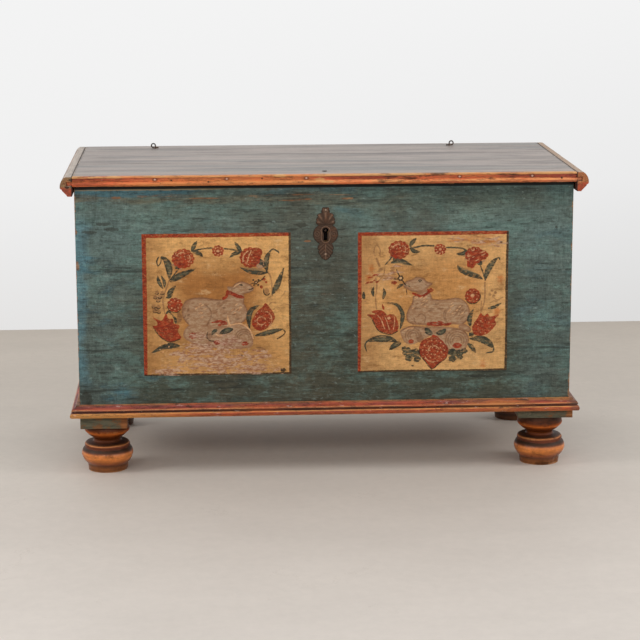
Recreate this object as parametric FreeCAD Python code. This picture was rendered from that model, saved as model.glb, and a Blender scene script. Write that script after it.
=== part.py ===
import FreeCAD, Part
import collections
import math
import os

# A painted blanket chest: a dovetailed board case on a moulded base and four turned bun feet,
# a plank lid between two moulded end cleats, two pairs of interlinked eye hinges and an iron box lock.
# Millimetres. X runs to the right along the front, Y from front to back, Z up.
# The origin lies on the floor under the middle of the lid, which is the widest piece both ways.

# Case
case_width = 1200
case_depth = 568
case_height = 566
board_thickness = 22
floor_thickness = 18
rabbet_depth = 11
joint_clearance = 0.15
plank_gap = 0.4
floor_plank_shares = (0.34, 0.31, 0.35)

# Dovetails of the four corners
end_pin_height = 58
middle_pin_height = 46
tail_count = 4
tail_flare = 4

# Moulding round the foot of the case, its outline in shares of its projection and its height
base_moulding_depth = 23
base_moulding_height = 30
base_groove_share = 0.74
base_moulding_shares = (
    (0, 0),
    (0.90, 0),
    ((1.00, 0.20), (0.87, 0.42)),
    (base_groove_share, 0.44),
    (base_groove_share, 0.52),
    (0.84, 0.54),
    ((0.80, 0.68), (0.66, 0.78)),
    ((0.48, 0.84), (0.38, 0.94)),
    (0.38, 1),
    (0, 1),
)

# Foot blocks and bun feet. The block at the right front is wider and thinner than the others, and its foot
# longer in the collar. The turned outline up to the collar is in shares of the largest radius and the height.
foot_block_size = 114
foot_block_height = 32
thin_block_width = 136
thin_block_overhang = 10
thin_block_height = 23
foot_inset = 62
foot_radius = 64.5
foot_height = 115
foot_collar_share = 0.83
foot_shares = (
    (0, 0),
    (0.71, 0),
    (0.73, 0.015),
    (0.79, 0.145),
    (0.83, 0.165),
    ((1.00, 0.345), (0.90, 0.475)),
    (0.87, 0.485),
    (0.86, 0.510),
    ((0.855, 0.600), (0.77, 0.640)),
    (0.56, 0.668),
    ((0.525, 0.690), (0.56, 0.712)),
    ((0.67, 0.752), (0.82, 0.830)),
    ((0.865, 0.860), (0.865, 0.930)),
)
tenon_radius = 15
tenon_depth_in_floor = 12

# Lid
lid_gap = 0.3
lid_thickness = 24.2
lid_front_overhang = 25.4
lid_back_overhang = 19.5
lid_plank_shares = (0.36, 0.30, 0.34)
lid_moulding_depth = 18
lid_groove_share = 0.72
lid_moulding_shares = (
    (0, 0),
    (0.78, 0),
    (0.80, 0.05),
    ((1.00, 0.27), (0.82, 0.49)),
    (lid_groove_share, 0.52),
    (lid_groove_share, 0.78),
    (0.90, 0.81),
    (1, 0.84),
    (1, 0.95),
    (0.95, 1),
    (0, 1),
)

# End cleats of the lid, which hang down beside the case
cleat_clearance = 3
cleat_width = 29
cleat_height = 47
cleat_shares = (
    (0, 0),
    (0.41, 0),
    (0.41, 0.04),
    ((0.60, 0.16), (0.83, 0.30)),
    (0.83, 0.34),
    (1, 0.415),
    (1, 0.53),
    ((0.85, 0.81), (0.55, 1)),
    (0, 1),
)
tongue_length = 13
tongue_thickness = 9
tongue_drop = 12.5

# Nails and headless brads
nail_shank_radius = 1.3
nail_head_radius = 2.6
nail_head_height = 1
brad_radius = 1
brad_length = 34
brad_depth = 1
floor_nail_length = 42
block_nail_margin = 5
block_nail_inset = 13
lid_nail_length = 38
nail_clearance = 0.1
lid_nail_shares = (0.161, 0.303, 0.461, 0.767, 0.913)
lid_nail_height_share = 0.65
brad_height_share = 0.48
front_brad_shares = (0.04, 0.27, 0.5, 0.73, 0.96)
side_brad_shares = (0.1, 0.5, 0.9)
floor_nail_shares = (0.2, 0.8)

# Eye hinges, each a pair of interlinked rings on clinched shanks
hinge_shares = (0.152, 0.801)
hinge_wire_radius = 2.25
hinge_ring_radius = 6.25
hinge_line_behind_case = 3
hinge_lid_clearance = 1.8
case_shank_angle = 40
lid_shank_angle = 45
notch_clearance = 2
shank_clearance = 0.2
clinch_radius = 1.6
clinch_length = 16
clinch_lift = 0.2
clinch_loop_radius = 5.2
clinch_loop_sweep = 300
clinch_stub_length = 7

# Lock
lock_plate_thickness = 2
lock_plate_margin = 6
lock_plate_below_case = 15
lock_plate_drop = 4
lock_plate_clip = 6
lock_case_width = 132
lock_case_depth = 22
lock_case_wall = 1.6
lock_case_drop = 8
lock_case_below_keyhole = 5
lock_flange_width = 8
lock_flange_inset = 15
lock_slot_width = 16
rivet_radius = 1.5
rivet_head_radius = 2.8
rivet_head_height = 1
rivet_height_shares = (0.2, 0.8)
lock_nail_head_radius = 4.5
lock_nail_length = 17
lock_nail_inset = 8

# Key side of the lock
key_drop = 115
key_post_radius = 2.5
key_post_reach = 16
keyhole_radius = 7.5
keyhole_slot_width = 10
keyhole_slot_length = 26
keyhole_margin = 0.5
ward_radius = 13
ward_wall = 1.2
ward_depth = 8
ward_sweep = 280

# Sliding bolt and what guides it
bolt_thickness = 7
bolt_height = 10
bolt_drop = 37
bolt_end_clearance = 4.4
bolt_arm_width = 12
bolt_limb_lap = 5
bolt_limb_height = 12
bolt_limb_past_key = 4
bolt_notch_radius = 6
bolt_notch_before_key = 9
bolt_clearance = 0.4
bolt_tip_clearance = 2
guide_width = 6
guide_wall = 4.5
guide_gap = 3
guide_pitch = 14
spring_thickness = 0.8
spring_root_drop = 8
spring_length = 20
spring_sag = 5
spring_inset = 2
spring_foot_length = 5
spring_foot_height = 4
spring_gap = 0.3

# Staple under the lid that the bolt passes through
staple_thickness = 6
staple_width = 17
staple_rim = 7
staple_eye_height = 12
staple_eye_width = 8.5
staple_flange_length = 28
staple_flange_thickness = 2
staple_flange_width = 21
staple_shank_radius = 3
staple_head_radius = 5.5
staple_head_height = 1.2

# Escutcheon, the right half of its outline in shares of its half width and its height
escutcheon_width = 61.5
escutcheon_height = 129
escutcheon_thickness = 1.6
escutcheon_top_above_key = 57
escutcheon_relief = 1.1
escutcheon_relief_share = 0.8
escutcheon_shares = (
    (0, 0),
    ((0.48, 0.10), (0.62, 0.20)),
    ((0.60, 0.27), (0.44, 0.32)),
    ((0.98, 0.50), (0.49, 0.665)),
    ((0.76, 0.71), (0.70, 0.79)),
    ((0.72, 0.86), (0.42, 0.89)),
    ((0.32, 0.98), (0, 1)),
)
escutcheon_nail_height_shares = (0.115, 0.952)
escutcheon_nail_head_radius = 3.2
escutcheon_nail_length = 15

# One overrun serves every cut that has to pass right through, and points closer than the other are one point
overrun = 5
same_point = 0.0001

# Levels, from the floor up
case_bottom = foot_height + foot_block_height
case_top = case_bottom + case_height
lid_bottom = case_top + lid_gap
lid_top = lid_bottom + lid_thickness
floor_top = case_bottom + floor_thickness

# Places across and from front to back
side_x = case_width / 2
lid_depth = lid_front_overhang + case_depth + lid_back_overhang
lid_front = -lid_depth / 2
lid_back = lid_depth / 2
case_front = lid_front + lid_front_overhang
case_back = case_front + case_depth
inner_front = case_front + board_thickness
inner_back = case_back - board_thickness
cleat_x = side_x + cleat_clearance
plank_front = lid_front + lid_moulding_depth

V = FreeCAD.Vector
AXIS_X = V(1, 0, 0)
AXIS_Y = V(0, 1, 0)
AXIS_Z = V(0, 0, 1)
ORIGIN = V(0, 0, 0)


def box(x, y, z):
    """A block between two limits each way."""
    return Part.makeBox(x[1] - x[0], y[1] - y[0], z[1] - z[0], V(x[0], y[0], z[0]))


def rod(radius, start, direction, length):
    """A round bar from a point along a direction."""
    return Part.makeCylinder(radius, length, start, direction)


def span(middle, size):
    """The two limits of a size about its middle."""
    return (middle - size / 2, middle + size / 2)


def outline(steps, place):
    """A closed wire through steps, each a corner or the middle and end of an arc."""
    edges = []
    start = place(*steps[0])
    here = start
    for step in steps[1:]:
        if isinstance(step[0], tuple):
            end = place(*step[1])
            edges.append(Part.Arc(here, place(*step[0]), end).toShape())
        else:
            end = place(*step)
            edges.append(Part.LineSegment(here, end).toShape())
        here = end
    if not here.isEqual(start, same_point):
        edges.append(Part.LineSegment(here, start).toShape())
    return Part.Wire(edges)


def prism(steps, place, run):
    """A bar of one section along a vector."""
    return Part.Face(outline(steps, place)).extrude(run)


def plan_prism(points, z):
    """An upright prism over an outline seen from above, between two heights."""
    return prism(points, lambda x, y: V(x, y, z[0]), V(0, 0, z[1] - z[0]))


def mirrored(shape):
    """The same shape on the other side of the middle plane."""
    return shape.mirror(ORIGIN, AXIS_X)


def unwrapped(shape):
    """The solid itself, where a compound holds just one."""
    return shape.Solids[0] if len(shape.Solids) == 1 else shape


def fused(shapes):
    """Several overlapping or touching shapes as one solid."""
    first, *others = shapes
    return unwrapped(first.fuse(others).removeSplitter())


def cut_all(shape, tools):
    """A shape less every tool that reaches it."""
    reached = [tool for tool in tools if tool.BoundBox.intersect(shape.BoundBox)]
    return unwrapped(shape.cut(reached)) if reached else shape


def nail(point, direction, length, head_radius, sunk):
    """A round nail whose head lies on a surface, or flush with it when sunk."""
    seat = point + direction * (nail_head_height if sunk else 0)
    head = rod(head_radius, seat - direction * nail_head_height, direction, nail_head_height)
    return fused([head, rod(nail_shank_radius, seat, direction, length)])


def nail_hole(point, direction, length, head_radius, sunk):
    """The hole that such a nail leaves in what it is driven into."""
    reach = length + nail_clearance + (nail_head_height if sunk else 0)
    shank = rod(nail_shank_radius + nail_clearance, point, direction, reach)
    if not sunk:
        return shank
    return fused([shank, rod(head_radius + nail_clearance, point, direction, nail_head_height)])


def nail_group(points, direction, length, head_radius=nail_head_radius, sunk=False):
    """Nails at several points, and the holes that they need."""
    nails = [nail(point, direction, length, head_radius, sunk) for point in points]
    holes = [nail_hole(point, direction, length, head_radius, sunk) for point in points]
    return nails, holes


def brad_group(points, direction):
    """Headless brads punched under a surface at several points, and their holes."""
    brads = [rod(brad_radius, point + direction * brad_depth, direction, brad_length) for point in points]
    reach = brad_depth + brad_length + nail_clearance
    holes = [rod(brad_radius + nail_clearance, point, direction, reach) for point in points]
    return brads, holes


def along_case(share):
    """A place across the front, as a share of the case's width from its left end."""
    return -side_x + share * case_width


def plank_limits(shares, low, high):
    """The limits of planks laid side by side with a narrow gap between them."""
    limits = []
    start = low
    for share in shares:
        end = start + share * (high - low)
        limits.append((start, end - (plank_gap if end < high - plank_gap else 0)))
        start = end
    return limits


# Case boards, the tails on the front and back boards and the pins on the side boards

tail_height = (
    case_height - 2 * end_pin_height - (tail_count - 1) * middle_pin_height
) / tail_count
rabbet = box(
    (-side_x + rabbet_depth, side_x - rabbet_depth),
    (case_front + rabbet_depth, case_back - rabbet_depth),
    (case_bottom, floor_top),
)


def tails(face, grow):
    """The tails at both ends of the board whose outer face is given, larger all round by a clearance."""
    inner = face + math.copysign(board_thickness + grow, -face)
    shoulder = side_x - board_thickness
    found = []
    for index in range(tail_count):
        low = case_bottom + end_pin_height + index * (tail_height + middle_pin_height) - grow
        high = low + tail_height + 2 * grow
        steps = (
            (shoulder, low + tail_flare / 2),
            (side_x, low - tail_flare / 2),
            (side_x, high + tail_flare / 2),
            (shoulder, high - tail_flare / 2),
        )
        tail = prism(steps, lambda x, z: V(x, face, z), V(0, inner - face, 0))
        found += [tail, mirrored(tail)]
    return found


def long_board(face):
    """The front or back board, with its tails."""
    inner = face + math.copysign(board_thickness, -face)
    core = box(
        span(0, case_width - 2 * board_thickness),
        (min(face, inner), max(face, inner)),
        (case_bottom, case_top),
    )
    return fused([core] + tails(face, 0)).cut(rabbet)


def side_board():
    """The right side board, with its pins."""
    board = box((side_x - board_thickness, side_x), (case_front, case_back), (case_bottom, case_top))
    return board.cut(tails(case_front, joint_clearance) + tails(case_back, joint_clearance)).cut(rabbet)


# Floor planks, nailed up into the side boards

floor_x = (-side_x + rabbet_depth + joint_clearance, side_x - rabbet_depth - joint_clearance)
floor_limits = plank_limits(
    floor_plank_shares,
    case_front + rabbet_depth + joint_clearance,
    case_back - rabbet_depth - joint_clearance,
)
floor_planks = [box(floor_x, limits, (case_bottom, floor_top)) for limits in floor_limits]
floor_nail_x = side_x - (board_thickness + rabbet_depth) / 2
floor_nail_points = [
    V(side * floor_nail_x, low + share * (high - low), case_bottom)
    for side in (-1, 1)
    for low, high in floor_limits
    for share in floor_nail_shares
]
floor_nails, floor_nail_holes = nail_group(floor_nail_points, AXIS_Z, floor_nail_length, sunk=True)


# Foot blocks and bun feet, one at each corner

Corner = collections.namedtuple("Corner", "side face inward block_width block_overhang block_height")
usual_block = (foot_block_size, 0, foot_block_height)
thin_block = (thin_block_width, thin_block_overhang, thin_block_height)
corners = {
    "front_left": Corner(-1, case_front, 1, *usual_block),
    "front_right": Corner(1, case_front, 1, *thin_block),
    "back_left": Corner(-1, case_back, -1, *usual_block),
    "back_right": Corner(1, case_back, -1, *usual_block),
}
tenon_top = case_bottom + tenon_depth_in_floor


def corner_point(corner, inset_x, inset_y, z):
    """A point a given way in from a corner of the case."""
    return V(corner.side * (side_x - inset_x), corner.face + corner.inward * inset_y, z)


def foot_block(corner):
    """A block under a corner of the case, flush with its front or back."""
    inset = corner.block_width / 2 - corner.block_overhang
    middle = corner_point(corner, inset, foot_block_size / 2, case_bottom - corner.block_height)
    across = span(middle.x, corner.block_width)
    return box(across, span(middle.y, foot_block_size), (middle.z, case_bottom))


def bun_foot(corner):
    """A turned foot that reaches its block, with its tenon."""
    axis = corner_point(corner, foot_inset, foot_inset, 0)
    top = case_bottom - corner.block_height
    top_share = top / foot_height
    steps = foot_shares + ((foot_collar_share, top_share), (0, top_share))
    wire = outline(steps, lambda r, z: V(axis.x + r * foot_radius, axis.y, z * foot_height))
    turned = Part.Face(wire).revolve(axis, AXIS_Z, 360)
    tenon = rod(tenon_radius, V(axis.x, axis.y, top), AXIS_Z, tenon_top - top)
    return fused([turned, tenon])


def tenon_socket(corner):
    """The hole for a foot's tenon."""
    start = corner_point(corner, foot_inset, foot_inset, 0)
    return rod(tenon_radius + joint_clearance, start, AXIS_Z, tenon_top + joint_clearance)


block_nails = []
block_nail_holes = []
for corner in corners.values():
    points = [
        corner_point(corner, inset, inset, case_bottom - corner.block_height)
        for inset in (block_nail_inset, foot_block_size - block_nail_inset)
    ]
    length = corner.block_height + floor_thickness - block_nail_margin
    nails, holes = nail_group(points, AXIS_Z, length, sunk=True)
    block_nails += nails
    block_nail_holes += holes
tenon_sockets = [tenon_socket(corner) for corner in corners.values()]


# Base moulding, mitred at the two front corners

base_x = side_x + base_moulding_depth
base_front = case_front - base_moulding_depth
base_levels = (case_bottom, case_bottom + base_moulding_height)


def base_level(share):
    """A height on the base moulding."""
    return case_bottom + share * base_moulding_height


def front_moulding():
    """The length across the front."""

    def place(u, w):
        return V(-base_x, case_front - u * base_moulding_depth, base_level(w))

    bar = prism(base_moulding_shares, place, V(2 * base_x, 0, 0))
    plan = ((-base_x, base_front), (base_x, base_front), (side_x, case_front), (-side_x, case_front))
    return bar.common(plan_prism(plan, base_levels))


def side_moulding():
    """The length along the right side."""

    def place(u, w):
        return V(side_x + u * base_moulding_depth, base_front, base_level(w))

    bar = prism(base_moulding_shares, place, V(0, case_back - base_front, 0))
    plan = ((side_x, case_front), (base_x, base_front), (base_x, case_back), (side_x, case_back))
    return bar.common(plan_prism(plan, base_levels))


groove_depth = base_groove_share * base_moulding_depth
brad_z = base_level(brad_height_share)
front_brads, front_brad_holes = brad_group(
    [V(along_case(share), case_front - groove_depth, brad_z) for share in front_brad_shares], AXIS_Y
)
left_brads, left_brad_holes = brad_group(
    [V(-side_x - groove_depth, case_front + share * case_depth, brad_z) for share in side_brad_shares],
    AXIS_X,
)
right_brads = [mirrored(brad) for brad in left_brads]
right_brad_holes = [mirrored(hole) for hole in left_brad_holes]
brad_holes = front_brad_holes + left_brad_holes + right_brad_holes


# Lid planks, their front moulding and the end cleats

tongue_z = (lid_top - tongue_drop - tongue_thickness, lid_top - tongue_drop)
tongue_x = span(0, 2 * (cleat_x + tongue_length))
lid_x = span(0, 2 * (cleat_x - joint_clearance))


def lid_plank(limits):
    """A plank of the lid with a tongue at each end."""
    plank = box(lid_x, limits, (lid_bottom, lid_top))
    return fused([plank, box(tongue_x, limits, tongue_z)])


def lid_moulding():
    """The moulded strip along the front edge, with the same tongues."""

    def place(u, w):
        return V(lid_x[0], plank_front - u * lid_moulding_depth, lid_bottom + w * lid_thickness)

    strip = prism(lid_moulding_shares, place, V(lid_x[1] - lid_x[0], 0, 0))
    tongue = box(tongue_x, (plank_front - lid_groove_share * lid_moulding_depth, plank_front), tongue_z)
    return fused([strip, tongue])


def lid_cleat():
    """The right end cleat, grooved for the tongues."""
    bottom = lid_top - cleat_height

    def place(u, w):
        return V(cleat_x + u * cleat_width, lid_front, bottom + w * cleat_height)

    bar = prism(cleat_shares, place, V(0, lid_depth, 0))
    groove = box(
        (cleat_x - overrun, cleat_x + tongue_length + joint_clearance),
        (lid_front - overrun, lid_back + overrun),
        (tongue_z[0] - joint_clearance, tongue_z[1] + joint_clearance),
    )
    return bar.cut(groove)


lid_planks = [lid_plank(limits) for limits in plank_limits(lid_plank_shares, plank_front, lid_back)]
lid_nail_points = [
    V(
        along_case(share),
        plank_front - lid_groove_share * lid_moulding_depth,
        lid_bottom + lid_nail_height_share * lid_thickness,
    )
    for share in lid_nail_shares
]
lid_nails, lid_nail_holes = nail_group(lid_nail_points, AXIS_Y, lid_nail_length)


# Eye hinges: the lid's ring turns about the wire of the case's ring

hinge_y = case_back + hinge_line_behind_case
hinge_z = lid_bottom - hinge_lid_clearance - hinge_ring_radius - hinge_wire_radius
ring_reach = 2 * hinge_ring_radius + hinge_wire_radius
hinge_points = [V(along_case(share), hinge_y, hinge_z) for share in hinge_shares]
case_shank_way = V(
    0, -math.cos(math.radians(case_shank_angle)), -math.sin(math.radians(case_shank_angle))
)
lid_shank_way = V(0, -math.cos(math.radians(lid_shank_angle)), math.sin(math.radians(lid_shank_angle)))
case_shank_length = (hinge_y - inner_back) / -case_shank_way.y
lid_shank_length = (lid_top - hinge_z) / lid_shank_way.z


def clinched_leg(start, direction, length):
    """A leg bent over along a surface, with a rounded tip."""
    tip = start + direction * length
    return fused([rod(clinch_radius, start, direction, length), Part.makeSphere(clinch_radius, tip)])


def case_eye(point):
    """The ring that the case holds, its shank through the back board and both legs bent aside."""
    ring_middle = point + case_shank_way * hinge_ring_radius
    ring = Part.makeTorus(
        hinge_ring_radius, hinge_wire_radius, ring_middle, case_shank_way.cross(AXIS_X)
    )
    start = point + case_shank_way * (2 * hinge_ring_radius)
    beyond = clinch_radius + clinch_lift
    length = case_shank_length - 2 * hinge_ring_radius + beyond / -case_shank_way.y
    shank = rod(hinge_wire_radius, start, case_shank_way, length)
    leg_start = point + case_shank_way * case_shank_length - AXIS_Y * beyond
    legs = [clinched_leg(leg_start, way, clinch_length) for way in (AXIS_X, -AXIS_X)]
    return fused([ring, shank] + legs)


def lid_eye(point, outward):
    """The ring that the lid holds, one leg curled into a loop on the lid and the other bent aside."""
    ring = Part.makeTorus(hinge_ring_radius, hinge_wire_radius, point, AXIS_X)
    lift = clinch_radius + clinch_lift
    start = point + lid_shank_way * hinge_ring_radius
    length = lid_shank_length - hinge_ring_radius + lift / lid_shank_way.z
    shank = rod(hinge_wire_radius, start, lid_shank_way, length)
    leg_start = point + lid_shank_way * lid_shank_length + AXIS_Z * lift
    riser = rod(clinch_radius, leg_start, AXIS_Z, clinch_loop_radius)
    loop = Part.makeTorus(
        clinch_loop_radius, clinch_radius, ORIGIN, AXIS_Z, 0, 360, clinch_loop_sweep
    )
    loop.rotate(ORIGIN, AXIS_X, 90)
    loop.translate(leg_start + (AXIS_Z - AXIS_X) * clinch_loop_radius)
    stub = clinched_leg(leg_start, AXIS_X, clinch_stub_length)
    eye = fused([ring, shank, riser, loop, stub])
    return eye.mirror(point, AXIS_X) if outward > 0 else eye


def hinge_room(point):
    """What a hinge takes out of the back board: a notch for the rings and the shank's hole."""
    notch = box(
        span(point.x, 2 * (hinge_ring_radius + hinge_wire_radius + notch_clearance)),
        (hinge_y - ring_reach, case_back + overrun),
        (hinge_z - ring_reach, case_top + overrun),
    )
    hole = rod(
        hinge_wire_radius + shank_clearance, point, case_shank_way, case_shank_length + overrun
    )
    return [notch, hole]


hinge_rooms = [room for point in hinge_points for room in hinge_room(point)]
lid_shank_holes = [
    rod(hinge_wire_radius + shank_clearance, point, lid_shank_way, lid_shank_length + overrun)
    for point in hinge_points
]


# Lock on the inner face of the front board

plate_y = (inner_front, inner_front + lock_plate_thickness)
key_z = case_top - key_drop
bolt_z = case_top - bolt_drop
lock_top = case_top - lock_case_drop
keyhole_bottom = key_z - keyhole_slot_length
lock_bottom = keyhole_bottom - lock_case_below_keyhole
lock_case_height = lock_top - lock_bottom
cover_y = plate_y[1] + lock_case_depth
lock_middle_y = (plate_y[1] + cover_y) / 2
flange_middle_x = (lock_case_width + lock_flange_width) / 2
plate_top = case_top - lock_plate_drop
plate_bottom = lock_bottom - lock_plate_below_case
plate_half = lock_case_width / 2 + lock_flange_width + lock_plate_margin


def keyhole(grow, y):
    """The opening for the key between two depths: a round over a slot."""
    depth = y[1] - y[0]
    eye = rod(keyhole_radius + grow, V(0, y[0], key_z), AXIS_Y, depth)
    slot = box(span(0, keyhole_slot_width + 2 * grow), y, (keyhole_bottom - grow, key_z))
    return eye.fuse(slot)


lock_nail_points = [
    V(side * (plate_half - lock_nail_inset), plate_y[1], z)
    for side in (-1, 1)
    for z in (plate_bottom + lock_nail_inset, plate_top - lock_nail_inset)
]
lock_nails, lock_nail_holes = nail_group(
    lock_nail_points, -AXIS_Y, lock_nail_length, lock_nail_head_radius
)
rivet_points = [
    V(side * flange_middle_x, plate_y[1] + lock_case_wall, lock_bottom + share * lock_case_height)
    for side in (-1, 1)
    for share in rivet_height_shares
]
rivet_length = lock_case_wall + lock_plate_thickness
rivet_holes = [
    rod(rivet_radius + nail_clearance, point, -AXIS_Y, rivet_length) for point in rivet_points
]


def lock_plate():
    """The back plate, with clipped corners and the keyhole."""
    short = plate_half - lock_plate_clip
    steps = (
        (-short, plate_bottom),
        (short, plate_bottom),
        (plate_half, plate_bottom + lock_plate_clip),
        (plate_half, plate_top - lock_plate_clip),
        (short, plate_top),
        (-short, plate_top),
        (-plate_half, plate_top - lock_plate_clip),
        (-plate_half, plate_bottom + lock_plate_clip),
    )
    plate = prism(steps, lambda x, z: V(x, plate_y[0], z), V(0, lock_plate_thickness, 0))
    return cut_all(plate, [keyhole(keyhole_margin, plate_y)] + lock_nail_holes + rivet_holes)


def lock_case():
    """The cover of the lock, open towards the plate and slotted at the top for the staple."""
    wall = lock_case_wall
    outer = box(span(0, lock_case_width), (plate_y[1], cover_y + wall), (lock_bottom, lock_top))
    inner = box(
        span(0, lock_case_width - 2 * wall),
        (plate_y[1] - overrun, cover_y),
        (lock_bottom + wall, lock_top - wall),
    )
    slot = box(span(0, lock_slot_width), (plate_y[1] - overrun, cover_y), span(lock_top, 2 * overrun))
    flanges = [
        box(
            span(side * flange_middle_x, lock_flange_width),
            (plate_y[1], plate_y[1] + wall),
            (lock_bottom + lock_flange_inset, lock_top - lock_flange_inset),
        )
        for side in (-1, 1)
    ]
    return cut_all(fused([outer.cut([inner, slot])] + flanges), rivet_holes)


def rivet(point):
    """A rivet through a flange of the lock's cover and the plate."""
    head = rod(rivet_head_radius, point, AXIS_Y, rivet_head_height)
    return fused([head, rod(rivet_radius, point, -AXIS_Y, rivet_length)])


def lock_ward():
    """A curved ward on the cover, round the key post and open below."""
    start = V(0, cover_y, key_z)
    outer = Part.makeCylinder(ward_radius + ward_wall, ward_depth, start, -AXIS_Y, ward_sweep)
    ring = cut_all(outer, [rod(ward_radius, start, -AXIS_Y, ward_depth)])
    middle = ring.CenterOfMass - start
    ring.rotate(start, AXIS_Y, -math.degrees(math.atan2(middle.x, middle.z)))
    return ring


bolt_tip = -(staple_thickness / 2 + bolt_tip_clearance)
bolt_left = -lock_case_width / 2 + lock_case_wall + bolt_end_clearance
bolt_y = span(lock_middle_y, bolt_thickness)
bolt_levels = span(bolt_z, bolt_height)
near_guide = bolt_tip - guide_gap - guide_width / 2
guide_places = (near_guide - guide_pitch, near_guide, staple_thickness / 2 + guide_gap + guide_width / 2)


def sliding_bolt():
    """The bolt, drawn back: a bar, an arm down its left end and a limb whose notch the key's bit reaches."""
    limb_bottom = key_z + keyhole_slot_length - bolt_limb_lap
    limb_top = limb_bottom + bolt_limb_height
    notch_x = -bolt_notch_before_key
    steps = (
        (bolt_left, limb_bottom),
        (notch_x - bolt_notch_radius, limb_bottom),
        ((notch_x, limb_bottom + bolt_notch_radius), (notch_x + bolt_notch_radius, limb_bottom)),
        (bolt_limb_past_key, limb_bottom),
        (bolt_limb_past_key, limb_top),
        (bolt_left + bolt_arm_width, limb_top),
        (bolt_left + bolt_arm_width, bolt_levels[0]),
        (bolt_tip, bolt_levels[0]),
        (bolt_tip, bolt_levels[1]),
        (bolt_left, bolt_levels[1]),
    )
    return prism(steps, lambda x, z: V(x, bolt_y[0], z), V(0, bolt_thickness, 0))


def bolt_guide(place):
    """A bridge on the plate that the bolt's bar slides through."""
    room = bolt_clearance + guide_wall
    bridge = box(
        span(place, guide_width),
        (plate_y[1], bolt_y[1] + room),
        (bolt_levels[0] - room, bolt_levels[1] + room),
    )
    way = box(
        span(place, guide_width + 2 * overrun),
        (bolt_y[0] - bolt_clearance, bolt_y[1] + bolt_clearance),
        (bolt_levels[0] - bolt_clearance, bolt_levels[1] + bolt_clearance),
    )
    return bridge.cut(way)


def lock_spring():
    """A leaf spring whose tip bears on the bolt's bar, on a foot fixed to the plate."""
    tip = (bolt_left + spring_inset, bolt_levels[1] + spring_gap)
    root = (tip[0] + spring_length, lock_top - lock_case_wall - spring_root_drop)
    bend = ((tip[0] + root[0]) / 2, (tip[1] + root[1]) / 2 - spring_sag)
    steps = (
        tip,
        (bend, root),
        (root[0], root[1] + spring_thickness),
        ((bend[0], bend[1] + spring_thickness), (tip[0], tip[1] + spring_thickness)),
    )
    leaf = prism(steps, lambda x, z: V(x, bolt_y[0], z), V(0, bolt_thickness, 0))
    foot = box(
        (root[0], root[0] + spring_foot_length),
        (plate_y[1], bolt_y[1]),
        span(root[1] + spring_thickness / 2, spring_foot_height),
    )
    return fused([leaf, foot])


def lock_staple():
    """The staple under the lid: a flat bar with an eye for the bolt, a flange and a clinched shank."""
    y = span(lock_middle_y, staple_width)
    blade_bottom = bolt_z - staple_eye_height / 2 - staple_rim
    blade = box(span(0, staple_thickness), y, (blade_bottom, lid_bottom))
    eye = box(
        span(0, staple_thickness + 2 * overrun),
        span(lock_middle_y, staple_eye_width),
        span(bolt_z, staple_eye_height),
    )
    flange = box(
        span(0, staple_flange_length),
        span(lock_middle_y, staple_flange_width),
        (lid_bottom - staple_flange_thickness, lid_bottom),
    )
    foot = V(0, lock_middle_y, lid_bottom)
    shank = rod(staple_shank_radius, foot, AXIS_Z, lid_thickness)
    head = rod(staple_head_radius, foot + AXIS_Z * lid_thickness, AXIS_Z, staple_head_height)
    return fused([blade.cut(eye), flange, shank, head])


staple_hole = rod(
    staple_shank_radius + shank_clearance, V(0, lock_middle_y, lid_bottom), AXIS_Z, lid_thickness
)


# Escutcheon on the front, with its relief and two nails

escutcheon_bottom = key_z + escutcheon_top_above_key - escutcheon_height
escutcheon_face = case_front - escutcheon_thickness
escutcheon_nail_points = [
    V(0, escutcheon_face, escutcheon_bottom + share * escutcheon_height)
    for share in escutcheon_nail_height_shares
]
escutcheon_nails, escutcheon_nail_holes = nail_group(
    escutcheon_nail_points, AXIS_Y, escutcheon_nail_length, escutcheon_nail_head_radius
)


def leaf_plate(share, back, thickness):
    """A plate of the leaf outline, at a share of its full size about its middle."""
    middle = escutcheon_bottom + escutcheon_height / 2
    half = escutcheon_width / 2

    def place(side):
        return lambda u, w: V(
            side * u * half * share, back, middle + (w - 1 / 2) * escutcheon_height * share
        )

    halves = [prism(escutcheon_shares, place(side), V(0, -thickness, 0)) for side in (-1, 1)]
    return fused(halves)


def escutcheon():
    """The iron plate round the keyhole."""
    plate = fused(
        [
            leaf_plate(1, case_front, escutcheon_thickness),
            leaf_plate(escutcheon_relief_share, escutcheon_face, escutcheon_relief),
        ]
    )
    seats = [
        rod(escutcheon_nail_head_radius + nail_clearance, point, -AXIS_Y, escutcheon_relief)
        for point in escutcheon_nail_points
    ]
    front = escutcheon_face - escutcheon_relief
    return cut_all(plate, [keyhole(0, (front, case_front))] + seats + escutcheon_nail_holes)


# The pieces, each in its own node

case_holes = (
    brad_holes
    + floor_nail_holes
    + block_nail_holes
    + lock_nail_holes
    + escutcheon_nail_holes
    + hinge_rooms
    + tenon_sockets
    + [keyhole(keyhole_margin, (case_front, inner_front))]
)
right_side = side_board()
right_moulding = side_moulding()
right_cleat = lid_cleat()

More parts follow.
